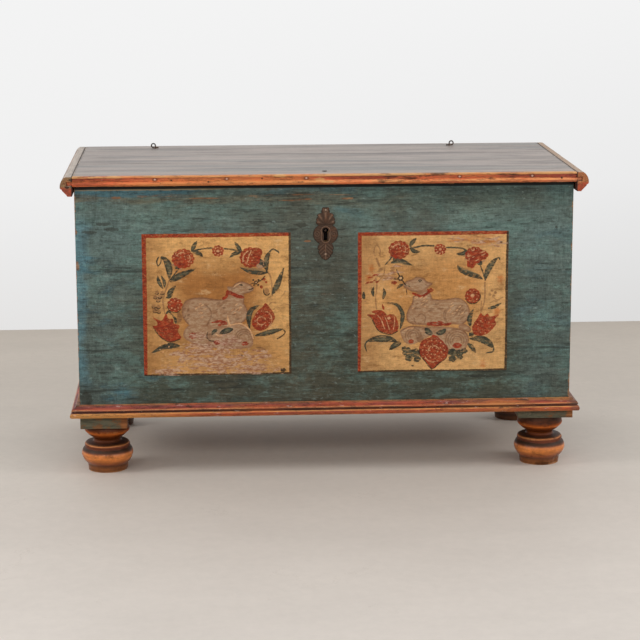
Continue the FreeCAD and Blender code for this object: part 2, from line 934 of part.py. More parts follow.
parts = {
    "front_board": cut_all(long_board(case_front), case_holes),
    "back_board": cut_all(long_board(case_back), case_holes),
    "side_board_left": cut_all(mirrored(right_side), case_holes),
    "side_board_right": cut_all(right_side, case_holes),
    "base_moulding_front": cut_all(front_moulding(), brad_holes),
    "base_moulding_left": cut_all(mirrored(right_moulding), brad_holes),
    "base_moulding_right": cut_all(right_moulding, brad_holes),
    "moulding_brads": Part.Compound(front_brads + left_brads + right_brads),
    "floor_nails": Part.Compound(floor_nails),
    "foot_block_nails": Part.Compound(block_nails),
    "lid_moulding_front": cut_all(lid_moulding(), lid_nail_holes),
    "lid_moulding_nails": Part.Compound(lid_nails),
    "lid_cleat_left": mirrored(right_cleat),
    "lid_cleat_right": right_cleat,
    "lock_plate": lock_plate(),
    "lock_case": lock_case(),
    "lock_rivets": Part.Compound([rivet(point) for point in rivet_points]),
    "lock_nails": Part.Compound(lock_nails),
    "lock_ward": lock_ward(),
    "key_post": rod(
        key_post_radius, V(0, cover_y, key_z), -AXIS_Y, cover_y - inner_front + key_post_reach
    ),
    "lock_bolt": sliding_bolt(),
    "bolt_guides": Part.Compound([bolt_guide(place) for place in guide_places]),
    "lock_spring": lock_spring(),
    "lock_staple": lock_staple(),
    "escutcheon": escutcheon(),
    "escutcheon_nails": Part.Compound(escutcheon_nails),
}
for name, plank in zip(("front", "middle", "back"), floor_planks):
    parts["floor_plank_" + name] = cut_all(plank, case_holes)
for name, plank in zip(("front", "middle", "back"), lid_planks):
    parts["lid_plank_" + name] = cut_all(plank, lid_nail_holes + lid_shank_holes + [staple_hole])
for name, corner in corners.items():
    parts["foot_block_" + name] = cut_all(foot_block(corner), tenon_sockets + block_nail_holes)
    parts["bun_foot_" + name] = bun_foot(corner)
for name, outward, point in zip(("left", "right"), (-1, 1), hinge_points):
    parts["hinge_eye_case_" + name] = case_eye(point)
    parts["hinge_eye_lid_" + name] = lid_eye(point, outward)

os.makedirs("parts", exist_ok=True)
for name, shape in parts.items():
    shape.exportStep("parts/" + name + ".step")
    print(name, len(shape.Solids), "solid" if len(shape.Solids) == 1 else "solids", shape.isValid())
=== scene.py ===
import logging
import math
from dataclasses import dataclass
from enum import Enum
from typing import Callable, Optional, Sequence, Union

import bmesh
import bpy
import numpy as np
from mathutils import Matrix, Vector, noise


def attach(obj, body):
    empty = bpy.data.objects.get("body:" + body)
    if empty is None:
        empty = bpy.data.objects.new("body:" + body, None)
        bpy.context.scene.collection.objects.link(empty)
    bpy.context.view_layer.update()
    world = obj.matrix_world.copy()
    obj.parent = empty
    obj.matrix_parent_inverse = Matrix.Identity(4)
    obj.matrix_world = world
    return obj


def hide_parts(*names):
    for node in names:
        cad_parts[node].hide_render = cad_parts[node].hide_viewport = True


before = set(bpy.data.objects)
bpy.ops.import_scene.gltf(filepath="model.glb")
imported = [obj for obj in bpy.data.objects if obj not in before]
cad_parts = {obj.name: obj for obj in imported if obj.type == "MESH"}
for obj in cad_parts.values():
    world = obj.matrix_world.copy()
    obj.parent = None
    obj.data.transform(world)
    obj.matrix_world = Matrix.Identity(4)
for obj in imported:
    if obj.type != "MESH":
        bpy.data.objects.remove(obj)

# A painted blanket chest in its room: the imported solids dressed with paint, bare wood and iron, with the
# painted panels, the turned feet, the escutcheon and the nails built here. Metres. X runs to the right
# along the front, Y from front to back, Z up; the origin lies on the floor under the middle of the lid.

LOG = logging.getLogger("chest")
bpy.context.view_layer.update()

Point = tuple[float, float]
Triple = tuple[float, float, float]
Number = Union[float, "Value"]

FULL_TURN = 2 * math.pi
MM = 0.001
FRONT_FACE = -0.28105
BACK_FACE = 0.28695
CASE_FOOT = 0.147
CASE_TOP = 0.713
LID_UNDER = 0.7133
LID_TOP = 0.7375
CLEAT_INNER = 0.603
RING_WIDTH = 8.5 * MM
SEED_STEPS = (3.7, 5.3, 2.9)
FILM_WIDTH = 36


class Body(Enum):
    """The moving bodies of the chest."""

    CASE = "case"
    LID = "lid"
    BOLT = "lock_bolt"


class Slot(Enum):
    """The finishes that the record names."""

    CASE_PAINT = "case_paint"
    MOULDING_PAINT = "moulding_paint"
    LID_PAINT = "lid_paint"
    CLEAT_WOOD = "cleat_wood"
    BLOCK_PAINT = "block_paint"
    FOOT_VARNISH = "foot_varnish"
    BARE_WOOD = "bare_wood"
    BROWNED_IRON = "browned_iron"
    IRON = "iron"


def linear(colour: str) -> tuple[float, float, float, float]:
    """Turn a colour as seen on a screen into the linear one that a shader takes.

    Args:
        colour: six hexadecimal digits after a hash sign.

    Returns:
        Red, green, blue and an alpha of one.
    """
    parts = [int(colour[i:i + 2], 16) / 255 for i in (1, 3, 5)]
    return tuple(((p + 0.055) / 1.055) ** 2.4 if p > 0.04045 else p / 12.92 for p in parts) + (1.0,)


def add_node(tree: bpy.types.NodeTree, kind: str, settings: Optional[dict] = None,
             inputs: Optional[dict] = None) -> bpy.types.Node:
    """Add a node to a tree.

    Args:
        tree: the tree.
        kind: the node's type.
        settings: attributes of the node.
        inputs: numbers for its sockets, or other nodes' sockets, by name or number.

    Returns:
        The node.
    """
    node = tree.nodes.new(kind)
    for key, setting in (settings or {}).items():
        setattr(node, key, setting)
    for key, given in (inputs or {}).items():
        if isinstance(given, bpy.types.NodeSocket):
            tree.links.new(given, node.inputs[key])
        elif given is not None:
            node.inputs[key].default_value = given
    return node


def put(name: str, data: bpy.types.ID) -> bpy.types.Object:
    """Add an object to the scene.

    Args:
        name: its name.
        data: its mesh, lamp or camera.

    Returns:
        The object.
    """
    thing = bpy.data.objects.new(name, data)
    bpy.context.scene.collection.objects.link(thing)
    return thing


def carry(piece: bpy.types.Object, name: str, values: Sequence[float]) -> None:
    """Keep a number at every point of a piece, for its finish to read."""
    piece.data.attributes.new(name, "FLOAT", "POINT").data.foreach_set("value", values)


class Value:
    """A number socket of a shader; an operator on it adds the Math node that it stands for."""

    def __init__(self, graph: "Graph", socket: bpy.types.NodeSocket) -> None:
        """Keep the socket and the graph that it is in.

        Args:
            graph: the graph that new nodes go into.
            socket: the output socket that carries the number.
        """
        self.graph = graph
        self.socket = socket

    def math(self, operation: str, *others: Number, clamp: bool = False) -> "Value":
        """Add a Math node with this number first.

        Args:
            operation: the operation's name in Blender.
            others: the second and third numbers.
            clamp: whether the result is held between 0 and 1.

        Returns:
            The result.
        """
        return self.graph.math(operation, self, *others, clamp=clamp)

    def __add__(self, other: Number) -> "Value":
        """Add."""
        return self.math("ADD", other)

    __radd__ = __add__

    def __mul__(self, other: Number) -> "Value":
        """Multiply."""
        return self.math("MULTIPLY", other)

    __rmul__ = __mul__

    def __sub__(self, other: Number) -> "Value":
        """Subtract."""
        return self.math("SUBTRACT", other)

    def __rsub__(self, other: Number) -> "Value":
        """Subtract from a plain number."""
        return self.graph.math("SUBTRACT", other, self)

    def __truediv__(self, other: Number) -> "Value":
        """Divide."""
        return self.math("DIVIDE", other)

    def __pow__(self, other: Number) -> "Value":
        """Raise to a power."""
        return self.math("POWER", other)

    def __abs__(self) -> "Value":
        """Drop the sign."""
        return self.math("ABSOLUTE")

    def least(self, other: Number) -> "Value":
        """Take the smaller of two numbers."""
        return self.math("MINIMUM", other)

    def most(self, other: Number) -> "Value":
        """Take the larger of two numbers."""
        return self.math("MAXIMUM", other)

    def held(self) -> "Value":
        """Hold the number between 0 and 1."""
        return self.math("ADD", 0.0, clamp=True)

    def rise(self, low: Number, high: Number) -> "Value":
        """Go smoothly from 0 at one number to 1 at another, whichever is larger.

        Args:
            low: where the result is 0.
            high: where the result is 1.

        Returns:
            The share between them.
        """
        return self.graph.value("ShaderNodeMapRange", {"interpolation_type": "SMOOTHSTEP"},
                                {0: self, 1: low, 2: high, 3: 0.0, 4: 1.0})


class Graph:
    """A material that is being put together, node by node."""

    def __init__(self, name: str) -> None:
        """Start an empty material with object coordinates ready.

        Args:
            name: the material's name.
        """
        self.material = bpy.data.materials.new(name)
        self.material.use_nodes = True
        self.tree = self.material.node_tree
        self.tree.nodes.clear()
        coordinates = self.node("ShaderNodeTexCoord")
        self.place = coordinates.outputs["Object"]
        self.x, self.y, self.z = self.split(self.place)
        self.facing = self.split(coordinates.outputs["Normal"])

    def node(self, kind: str, settings: Optional[dict] = None,
             inputs: Optional[dict] = None) -> bpy.types.Node:
        """Add a node, whose inputs may also be colours written as text, or numbers of this graph.

        Args:
            kind: the node's type.
            settings: attributes of the node.
            inputs: what goes into its sockets, by name or number.

        Returns:
            The node.
        """
        given = {}
        for key, entry in (inputs or {}).items():
            entry = linear(entry) if isinstance(entry, str) else entry
            given[key] = entry.socket if isinstance(entry, Value) else entry
        return add_node(self.tree, kind, settings, given)

    def value(self, kind: str, settings: Optional[dict] = None, inputs: Optional[dict] = None,
              output: Union[int, str] = 0) -> Value:
        """Add a node and take one of its numbers.

        Args:
            kind: the node's type.
            settings: attributes of the node.
            inputs: what goes into its sockets.
            output: the output that is wanted.

        Returns:
            The number.
        """
        return Value(self, self.node(kind, settings, inputs).outputs[output])

    def math(self, operation: str, *numbers: Number, clamp: bool = False) -> Value:
        """Add a Math node.

        Args:
            operation: the operation's name in Blender.
            numbers: its numbers, plain or from sockets.
            clamp: whether the result is held between 0 and 1.

        Returns:
            The result.
        """
        return self.value("ShaderNodeMath", {"operation": operation, "use_clamp": clamp},
                          dict(enumerate(numbers)))

    def split(self, vector: bpy.types.NodeSocket) -> tuple[Value, Value, Value]:
        """Take a vector apart.

        Args:
            vector: the socket that carries it.

        Returns:
            Its three numbers.
        """
        node = self.node("ShaderNodeSeparateXYZ", None, {0: vector})
        return tuple(Value(self, output) for output in node.outputs)

    def vector(self, operation: str, first: object, second: object) -> bpy.types.NodeSocket:
        """Add a Vector Math node.

        Args:
            operation: the operation's name in Blender.
            first: the first vector.
            second: the second vector.

        Returns:
            The resulting vector.
        """
        return self.node("ShaderNodeVectorMath", {"operation": operation}, {0: first, 1: second}).outputs[0]

    def noise(self, scale: float, stretch: Triple = (1, 1, 1), detail: float = 4, rough: float = 0.55,
              seed: float = 0, warp: float = 0, at: Optional[bpy.types.NodeSocket] = None) -> Value:
        """Add cloudy noise.

        Args:
            scale: how many blots go into a metre.
            stretch: how much finer it is along each axis.
            detail: how many finer layers it has.
            rough: how strong these are.
            seed: shifts the pattern.
            warp: how far the pattern is bent.
            at: the coordinates, the piece's own where none are given.

        Returns:
            A number about 0.5.
        """
        spot = self.vector("MULTIPLY", at or self.place, stretch)
        spot = self.vector("ADD", spot, tuple(seed * step for step in SEED_STEPS))
        return self.value("ShaderNodeTexNoise", None,
                          {"Vector": spot, "Scale": scale, "Detail": detail, "Roughness": rough,
                           "Distortion": warp})

    def attribute(self, name: str) -> Value:
        """Read a number that the mesh carries at its points."""
        return self.value("ShaderNodeAttribute", {"attribute_name": name}, None, "Fac")

    def mix(self, factor: Number, below: object, above: object) -> bpy.types.NodeSocket:
        """Lay one colour over another.

        Args:
            factor: how much of the upper one shows.
            below: the lower colour.
            above: the upper colour.

        Returns:
            The mixed colour.
        """
        return self.node("ShaderNodeMix", {"data_type": "RGBA", "clamp_factor": True},
                         {0: factor, 6: below, 7: above}).outputs[2]

    def ramp(self, factor: Value, *stops: tuple[float, str]) -> bpy.types.NodeSocket:
        """Turn a number into a colour by stops.

        Args:
            factor: the number.
            stops: places from 0 to 1 and their colours.

        Returns:
            The colour.
        """
        node = self.node("ShaderNodeValToRGB", None, {0: factor})
        elements = node.color_ramp.elements
        while len(elements) < len(stops):
            elements.new(0.5)
        for element, (spot, colour) in zip(elements, stops):
            element.position = spot
            element.color = linear(colour)
        return node.outputs[0]

    def shade(self, colour: object, amount: Number) -> bpy.types.NodeSocket:
        """Multiply a colour's light by a number.

        Args:
            colour: the colour.
            amount: the number, 1 for no change.

        Returns:
            The new colour.
        """
        grey = self.node("ShaderNodeCombineXYZ", None, {0: amount, 1: amount, 2: amount}).outputs[0]
        return self.vector("MULTIPLY", colour, grey)

    def timber(self, across: Value, spot: bpy.types.NodeSocket, light: str, dark: str,
               knots: Sequence[Value] = ()) -> tuple[bpy.types.NodeSocket, Value]:
        """Draw plain-sawn softwood, with rings that run round its knots.

        Args:
            across: the distance from the middle of the log, across the grain.
            spot: coordinates drawn out along the grain.
            light: the colour of the early wood.
            dark: the colour of the late wood.
            knots: the distance from each knot.

        Returns:
            The colour, and the relief from 0 to 1.
        """
        sway = self.noise(0.8, detail=4, rough=0.5, seed=41, at=spot) - 0.5
        shake = self.noise(5, detail=4, seed=42, at=spot) - 0.5
        radius = (across * across + 0.003) ** 0.5 + sway * 0.16 + shake * 0.02
        for gap in knots:
            radius = radius + gap.rise(0.085, 0.0) * 0.045
        late = (radius / RING_WIDTH).math("FRACT")
        line = late.rise(0.25, 0.85) * late.rise(1.0, 0.9)
        fibre = self.noise(42, detail=5, rough=0.66, seed=43, at=spot)
        cloud = self.noise(1.4, detail=5, seed=44, at=spot)
        colour = self.mix(line * 0.75, light, dark)
        colour = self.shade(colour, 1 + (fibre - 0.5) * 0.9 + (cloud - 0.5) * 0.5)
        for gap in knots:
            colour = self.mix(gap.rise(0.03, 0.012) * 0.5, colour, dark)
            colour = self.mix(gap.rise(0.0125, 0.0095) * 0.85, colour, "#3a2416")
        return colour, line * 0.5 + fibre * 0.5

    def edge(self, low: Triple, high: Triple) -> Value:
        """Measure how far a point on a box's surface is from the box's nearest edge.

        Args:
            low: the box's lowest corner.
            high: its highest corner.

        Returns:
            The distance in metres.
        """
        gaps = [abs((axis - a).least(b - axis)) for axis, a, b in zip((self.x, self.y, self.z), low, high)]
        return gaps[0].least(gaps[1]).most(gaps[0].most(gaps[1]).least(gaps[2]))

    def spot(self, x: float, z: float, width: float, height: float, ragged: float = 0.35,
             seed: float = 0) -> Value:
        """Mark an oval spot with a ragged edge on the front.

        Args:
            x: its place across.
            z: its place up.
            width: its width.
            height: its height.
            ragged: how uneven its edge is.
            seed: shifts the unevenness.

        Returns:
            1 inside and 0 outside.
        """
        across = (self.x - x) / (width / 2)
        up = (self.z - z) / (height / 2)
        reach = (across * across + up * up) ** 0.5
        finer = max(1.0, width / height / 2)
        uneven = self.noise(60, (1, 1, finer), detail=6, rough=0.75, seed=seed + x + z) - 0.5
        return (reach + uneven * (ragged * 9)).rise(1.1, 0.9)

    def finish(self, colour: object, roughness: Number, height: Optional[Value] = None,
               depth: float = 0.3 * MM, metallic: Number = 0.0, coat: Number = 0.0, coat_rough: float = 0.2,
               specular: float = 0.25, alpha: Number = 1.0) -> bpy.types.Material:
        """Close the graph with its shader.

        Args:
            colour: the base colour.
            roughness: the roughness.
            height: the relief, from 0 to 1.
            depth: what a relief of 1 stands for, in metres.
            metallic: how metallic it is.
            coat: how much varnish lies on it.
            coat_rough: the roughness of that varnish.
            specular: the level of plain gloss.
            alpha: how much it covers.

        Returns:
            The finished material.
        """
        inputs = {"Base Color": colour, "Roughness": roughness, "Metallic": metallic, "Coat Weight": coat,
                  "Coat Roughness": coat_rough, "Specular IOR Level": specular, "Alpha": alpha}
        if height is not None:
            inputs["Normal"] = self.node("ShaderNodeBump", None,
                                         {"Strength": 1.0, "Distance": depth, "Height": height}).outputs[0]
        shader = self.node("ShaderNodeBsdfPrincipled", None, inputs)
        self.node("ShaderNodeOutputMaterial", None, {0: shader.outputs[0]})
        return self.material


@dataclass(frozen=True)
class BareWood:
    """Unpainted softwood, with growth rings drawn out along the grain."""

    name: str = "bare_wood"
    drawn_out: Triple = (1.0, 14.0, 14.0)
    light: str = "#a07a52"
    dark: str = "#6f4d31"
    dirt: str = "#4a3524"
    roughness: float = 0.72

    def material(self) -> bpy.types.Material:
        """Build the material.

        Returns:
            The material.
        """
        g = Graph(self.name)
        across = g.y + g.z * 0.5 - 0.05
        spot = g.vector("MULTIPLY", g.place, self.drawn_out)
        colour, relief = g.timber(across, spot, self.light, self.dark)
        stain = g.noise(3.2, detail=6, rough=0.62, seed=5)
        colour = g.mix(stain.rise(0.5, 0.7) * 0.5, colour, self.dirt)
        dust = g.noise(60, detail=5, rough=0.7, seed=6)
        colour = g.mix(dust.rise(0.56, 0.68) * 0.35, colour, self.dirt)
        return g.finish(colour, relief * 0.2 + (self.roughness - 0.1), relief, 0.5 * MM)


@dataclass(frozen=True)
class Iron:
    """Old iron, browned and lightly rusted."""

    name: str = "iron"
    base: str = "#3a3431"
    rust: str = "#5a3a26"
    roughness: float = 0.55
    metallic: float = 0.55

    def material(self) -> bpy.types.Material:
        """Build the material.

        Returns:
            The material.
        """
        g = Graph(self.name)
        patch = g.noise(55, detail=6, rough=0.65)
        pits = g.noise(420, detail=3, seed=3)
        colour = g.mix(patch.rise(0.45, 0.68), self.base, self.rust)
        colour = g.mix(pits.rise(0.55, 0.75) * 0.5, colour, "#1e1916")
        metal = (1 - patch.rise(0.45, 0.68)) * self.metallic
        return g.finish(colour, patch * 0.3 + (self.roughness - 0.15), pits * 0.4 + patch * 0.6, 0.35 * MM,
                        metal)


@dataclass(frozen=True)
class CasePaint:
    """The grey-green paint of the case outside, with bare wood inside and behind."""

    name: str = "case_paint"
    half_width: float = 0.6
    front: float = FRONT_FACE
    back: float = BACK_FACE
    low: float = CASE_FOOT
    high: float = CASE_TOP
    board: float = 0.022
    knots: tuple[Point, ...] = ((-0.38, 0.55), (-0.06, 0.31), (0.24, 0.61), (0.47, 0.37), (-0.52, 0.26))
    chips: tuple[tuple[float, float, float, float], ...] = (
        (-0.5975, 0.517, 0.012, 0.024), (-0.598, 0.60, 0.006, 0.012), (-0.498, 0.683, 0.022, 0.006),
        (-0.29, 0.68, 0.07, 0.003), (-0.085, 0.673, 0.05, 0.0035), (-0.045, 0.6755, 0.03, 0.004),
        (0.052, 0.676, 0.026, 0.005), (-0.043, 0.5735, 0.017, 0.005))
    grime: tuple[tuple[float, float, float, float], ...] = (
        (-0.535, 0.62, 0.036, 0.008), (-0.515, 0.607, 0.034, 0.009), (-0.565, 0.601, 0.032, 0.006),
        (-0.584, 0.192, 0.03, 0.034), (0.445, 0.618, 0.012, 0.006), (0.56, 0.6, 0.006, 0.006),
        (0.0385, 0.5805, 0.006, 0.005), (-0.06, 0.612, 0.036, 0.01), (-0.08, 0.602, 0.03, 0.005))

    def material(self) -> bpy.types.Material:
        """Build the material.

        Returns:
            The material.
        """
        g = Graph(self.name)
        side_on = abs(g.facing[0]).rise(0.4, 0.6)
        blend = g.node("ShaderNodeMix", {"data_type": "VECTOR"},
                       {0: side_on, 4: g.vector("MULTIPLY", g.place, (1, 8, 12)),
                        5: g.vector("MULTIPLY", g.place, (8, 1, 12))}).outputs[1]
        level = (g.z - self.low) / (self.high - self.low)
        brush = g.noise(8, detail=7, rough=0.66, seed=2, at=blend)
        fine = g.noise(48, detail=4, rough=0.62, seed=3, at=blend)
        upright = g.noise(46, (9, 9, 1), detail=4, rough=0.62, seed=6)
        cloud = g.noise(5.5, (1, 1, 1.5), detail=7, rough=0.62, seed=4)
        ends = abs(g.x + (cloud - 0.5) * 0.1).rise(0.42, 0.52)
        # the ramp darkens the paint towards the foot of the case, partly its own colour and partly painted
        # shade
        paint = g.ramp((level + (cloud - 0.5) * 0.26).held(), (0.0, "#484a3e"), (0.14, "#464a3e"),
                       (0.4, "#4a4f44"), (0.62, "#555f56"), (0.8, "#62756f"), (0.9, "#5f6d63"),
                       (0.955, "#50605a"), (1.0, "#3c5355"))
        paint = g.mix(ends * 0.5, paint, "#5a6b68")
        paint = self._weather(g, paint, brush, cloud, upright, fine, ends, level)
        bare = self._bare(g, blend)
        fresh = g.ramp(g.noise(30, (1, 1, 4), seed=14).held(), (0.3, "#5a4433"), (0.5, "#8c6040"),
                       (0.68, "#ad8a64"))
        colour = g.mix(bare, paint, fresh)
        wood, hidden, grain = self._wood(g, blend, fine)
        colour = g.mix(hidden, colour, wood)
        height = brush * 0.4 + fine * 0.45 + upright * 0.3 + (1 - bare) * 0.6 + hidden * grain
        return g.finish(colour, bare * 0.15 + fine * 0.25 + hidden * 0.12 + 0.42, height, 0.6 * MM,
                        specular=0.2)

    def _weather(self, g: Graph, paint: object, brush: Value, cloud: Value, upright: Value, fine: Value,
                 ends: Value, level: Value) -> bpy.types.NodeSocket:
        """Lay brush marks, scumble, veils and dirt over the plain paint, with a painted shadow under the lid.

        Args:
            g: the graph of the paint.
            paint: the plain colour.
            brush: broad noise along the boards.
            cloud: broad clouds.
            upright: fine upright noise.
            fine: fine noise along the boards.
            ends: how near the ends of the front a point is.
            level: the height as a share of the case's.

        Returns:
            The weathered colour.
        """
        scumble = g.noise(15, (1, 1, 2.2), detail=8, rough=0.74, seed=7)
        paint = g.mix(scumble.rise(0.47, 0.62) * 0.5, paint, "#617d75")
        middle = (1 - abs(g.x + 0.02) / 0.34).held()
        veil = g.noise(3.6, (1, 1, 0.8), detail=7, rough=0.62, seed=8) + middle * 0.05 - ends * 0.04
        paint = g.mix(veil.rise(0.47, 0.62) * 0.62, paint, "#4b4334")
        blue = g.noise(6, (1, 1, 3), detail=7, rough=0.66, seed=9) + level.rise(0.93, 1.0) * 0.1 + ends * 0.05
        blue = blue + (1 - abs(g.x + 0.45) / 0.18).held() * level.rise(0.93, 0.97) * 0.3
        paint = g.mix(blue.rise(0.58, 0.74) * (0.6 - g.x * 0.6).held() * 0.8, paint, "#3f6975")
        rubbed = g.noise(5, (1, 1, 7), detail=7, rough=0.7, seed=16) - abs(level - 0.935) * 5
        paint = g.mix(rubbed.rise(0.36, 0.52) * (0.55 - g.x * 0.8).held() * 0.62, paint, "#6b5b40")
        paint = g.mix(level.rise(0.86, 0.95) * g.x.rise(0.0, 0.3) * 0.4, paint, "#30443f")
        faded = (0 - g.x - (cloud - 0.5) * 0.12).rise(0.57, 0.595)
        faded = faded * level.rise(0.1, 0.2) * level.rise(0.9, 0.8)
        paint = g.mix(faded * (g.y - self.front).rise(0.012, 0.002) * 0.48, paint, "#5d8a98")
        weave = g.noise(150, (1, 1, 6), detail=4, rough=0.66, seed=17)
        warp = g.noise(150, (6, 6, 1), detail=4, rough=0.66, seed=18)
        paint = g.shade(paint, 1 + (brush - 0.5) * 1.3 + (cloud - 0.5) * 0.8 + (fine - 0.5) * 1.0
                        + (upright - 0.5) * (ends * 0.6 + 0.4) + (weave - 0.5) * 0.6 + (warp - 0.5) * 0.15)
        stroke = g.noise(20, (1, 1, 9), detail=8, rough=0.76, seed=26)
        paint = g.mix(stroke.rise(0.53, 0.62) * 0.4, paint, "#2b2f2a")
        paint = g.mix(stroke.rise(0.46, 0.36) * 0.3, paint, "#7b948c")
        crackle = g.noise(70, (1, 1, 1.6), detail=7, rough=0.8, seed=27)
        paint = g.mix(crackle.rise(0.55, 0.62) * 0.45, paint, "#262a25")
        crumb = g.noise(130, (1, 1, 1.4), detail=7, rough=0.74, seed=24)
        patch = g.noise(26, (1, 1, 1.7), detail=8, rough=0.76, seed=25)
        paint = g.shade(paint, 1 + (crumb - 0.5) * 1.3 + (patch - 0.5) * 0.9)
        streak = g.noise(5, (1, 1, 11), detail=8, rough=0.72, seed=10)
        paint = g.mix(streak.rise(0.55, 0.66) * 0.7, paint, "#272a25")
        drip = g.noise(8, (9, 9, 1), detail=7, rough=0.7, seed=11)
        paint = g.mix(drip.rise(0.56, 0.74) * (ends * 0.3 + 0.22), paint, "#2b2f2a")
        split = abs(g.noise(7, (1, 1, 9), detail=8, rough=0.74, seed=19) - 0.5).rise(0.008, 0.002)
        paint = g.mix(split * cloud.rise(0.42, 0.6) * 0.7, paint, "#20231e")
        fleck = g.noise(60, (1, 1, 1.6), detail=6, rough=0.74, seed=12)
        paint = g.mix(fleck.rise(0.58, 0.68) * 0.62, paint, "#252720")
        paint = g.mix(fleck.rise(0.41, 0.33) * 0.42, paint, "#8b9c94")
        rim = (self.high - g.z - (cloud - 0.5) * 0.004)
        pale = (rim + (fleck - 0.5) * 0.006).rise(0.0135, 0.012)
        pale = pale * (cloud - abs(g.x + 0.42) * 1.2).rise(0.1, 0.4)
        paint = g.mix(pale * 0.6, paint, "#a3875a")
        # darker again along the foot of the case: partly painted shade, as in the ramp
        paint = g.mix(level.rise(0.1, 0.02) * 0.3, paint, "#2e2f27")
        for index, (x, z, width, height) in enumerate(self.grime):
            paint = g.mix(g.spot(x, z, width, height, 0.3, index + 30) * 0.62, paint, "#2d2a21")
        # painted shadow of the lid: a near-black band along the top of the case, just under the lid
        return g.mix(rim.rise(0.0105, 0.009) * 0.97, paint, "#080908")

    def _bare(self, g: Graph, spot: bpy.types.NodeSocket) -> Value:
        """Mark where the paint is scratched, rubbed or chipped off.

        Args:
            g: the graph of the paint.
            spot: coordinates drawn out along the boards.

        Returns:
            1 where the wood shows.
        """
        worn = g.noise(11, detail=7, rough=0.74, seed=12, at=spot)
        patchy = g.noise(3.1, detail=2, seed=13)
        zone = (1 - abs(g.z - 0.684 - (patchy - 0.5) * 0.012) / 0.011).held() * patchy.rise(0.4, 0.62)
        zone = zone * g.x.rise(0.2, 0.05)
        bare = (worn + zone * 0.13).rise(0.655, 0.71) * 0.6
        bare = bare.most(self._edge_wear(g))
        near = (g.y - self.front).rise(0.012, 0.006)
        for index, (x, z, width, height) in enumerate(self.chips):
            bare = bare.most(g.spot(x, z, width, height, seed=index) * near * 0.8)
        on_front = (g.y - self.front).rise(0.002, 0.0005)
        return bare * on_front.most(0.7)

    def _edge_wear(self, g: Graph) -> Value:
        """Mark where the paint is rubbed off along the edges of the case.

        Args:
            g: the graph of the paint.

        Returns:
            1 where the wood shows.
        """
        gap = g.edge((-self.half_width, self.front, self.low), (self.half_width, self.back, self.high))
        uneven = g.noise(34, detail=5, rough=0.7, seed=15)
        return (gap - (uneven - 0.51) * 0.02).rise(0.0014, 0.0) * 0.8

    def _wood(self, g: Graph, spot: bpy.types.NodeSocket,
              fine: Value) -> tuple[bpy.types.NodeSocket, Value, Value]:
        """Make the bare boards of the inside and the back.

        Args:
            g: the graph of the paint.
            spot: coordinates drawn out along the boards.
            fine: fine noise along the grain.

        Returns:
            The wood's colour, where it shows, and its relief.
        """
        knots = [(((g.x - x) ** 2) + ((g.z - z) * 1.25) ** 2) ** 0.5 for x, z in self.knots]
        wood, grain = g.timber(g.z - 0.42, spot, "#ad8a5e", "#7c5836", knots)
        wood = g.mix(fine.rise(0.5, 0.75) * 0.3, wood, "#56402a")
        aged = g.noise(5, detail=5, seed=23).rise(0.42, 0.7)
        inner = self.half_width - self.board + 0.0004
        within = abs(g.x).rise(inner + 0.0003, inner) * (g.y - self.front).rise(0.003, 0.0045)
        behind = (g.y - self.back).rise(-0.0012, -0.0004)
        rim = (g.z - self.high).rise(-0.0012, -0.0003) * aged.rise(0.95, 0.2)
        wood = g.mix((behind * 0.42 + aged * 0.3).held(), wood, "#4d4033")
        damp = (g.z + (aged - 0.5) * 0.08).rise(0.26, 0.15) * behind
        wood = g.mix(damp * 0.6, wood, "#3c3229")
        return wood, within.most(behind).most(rim), grain


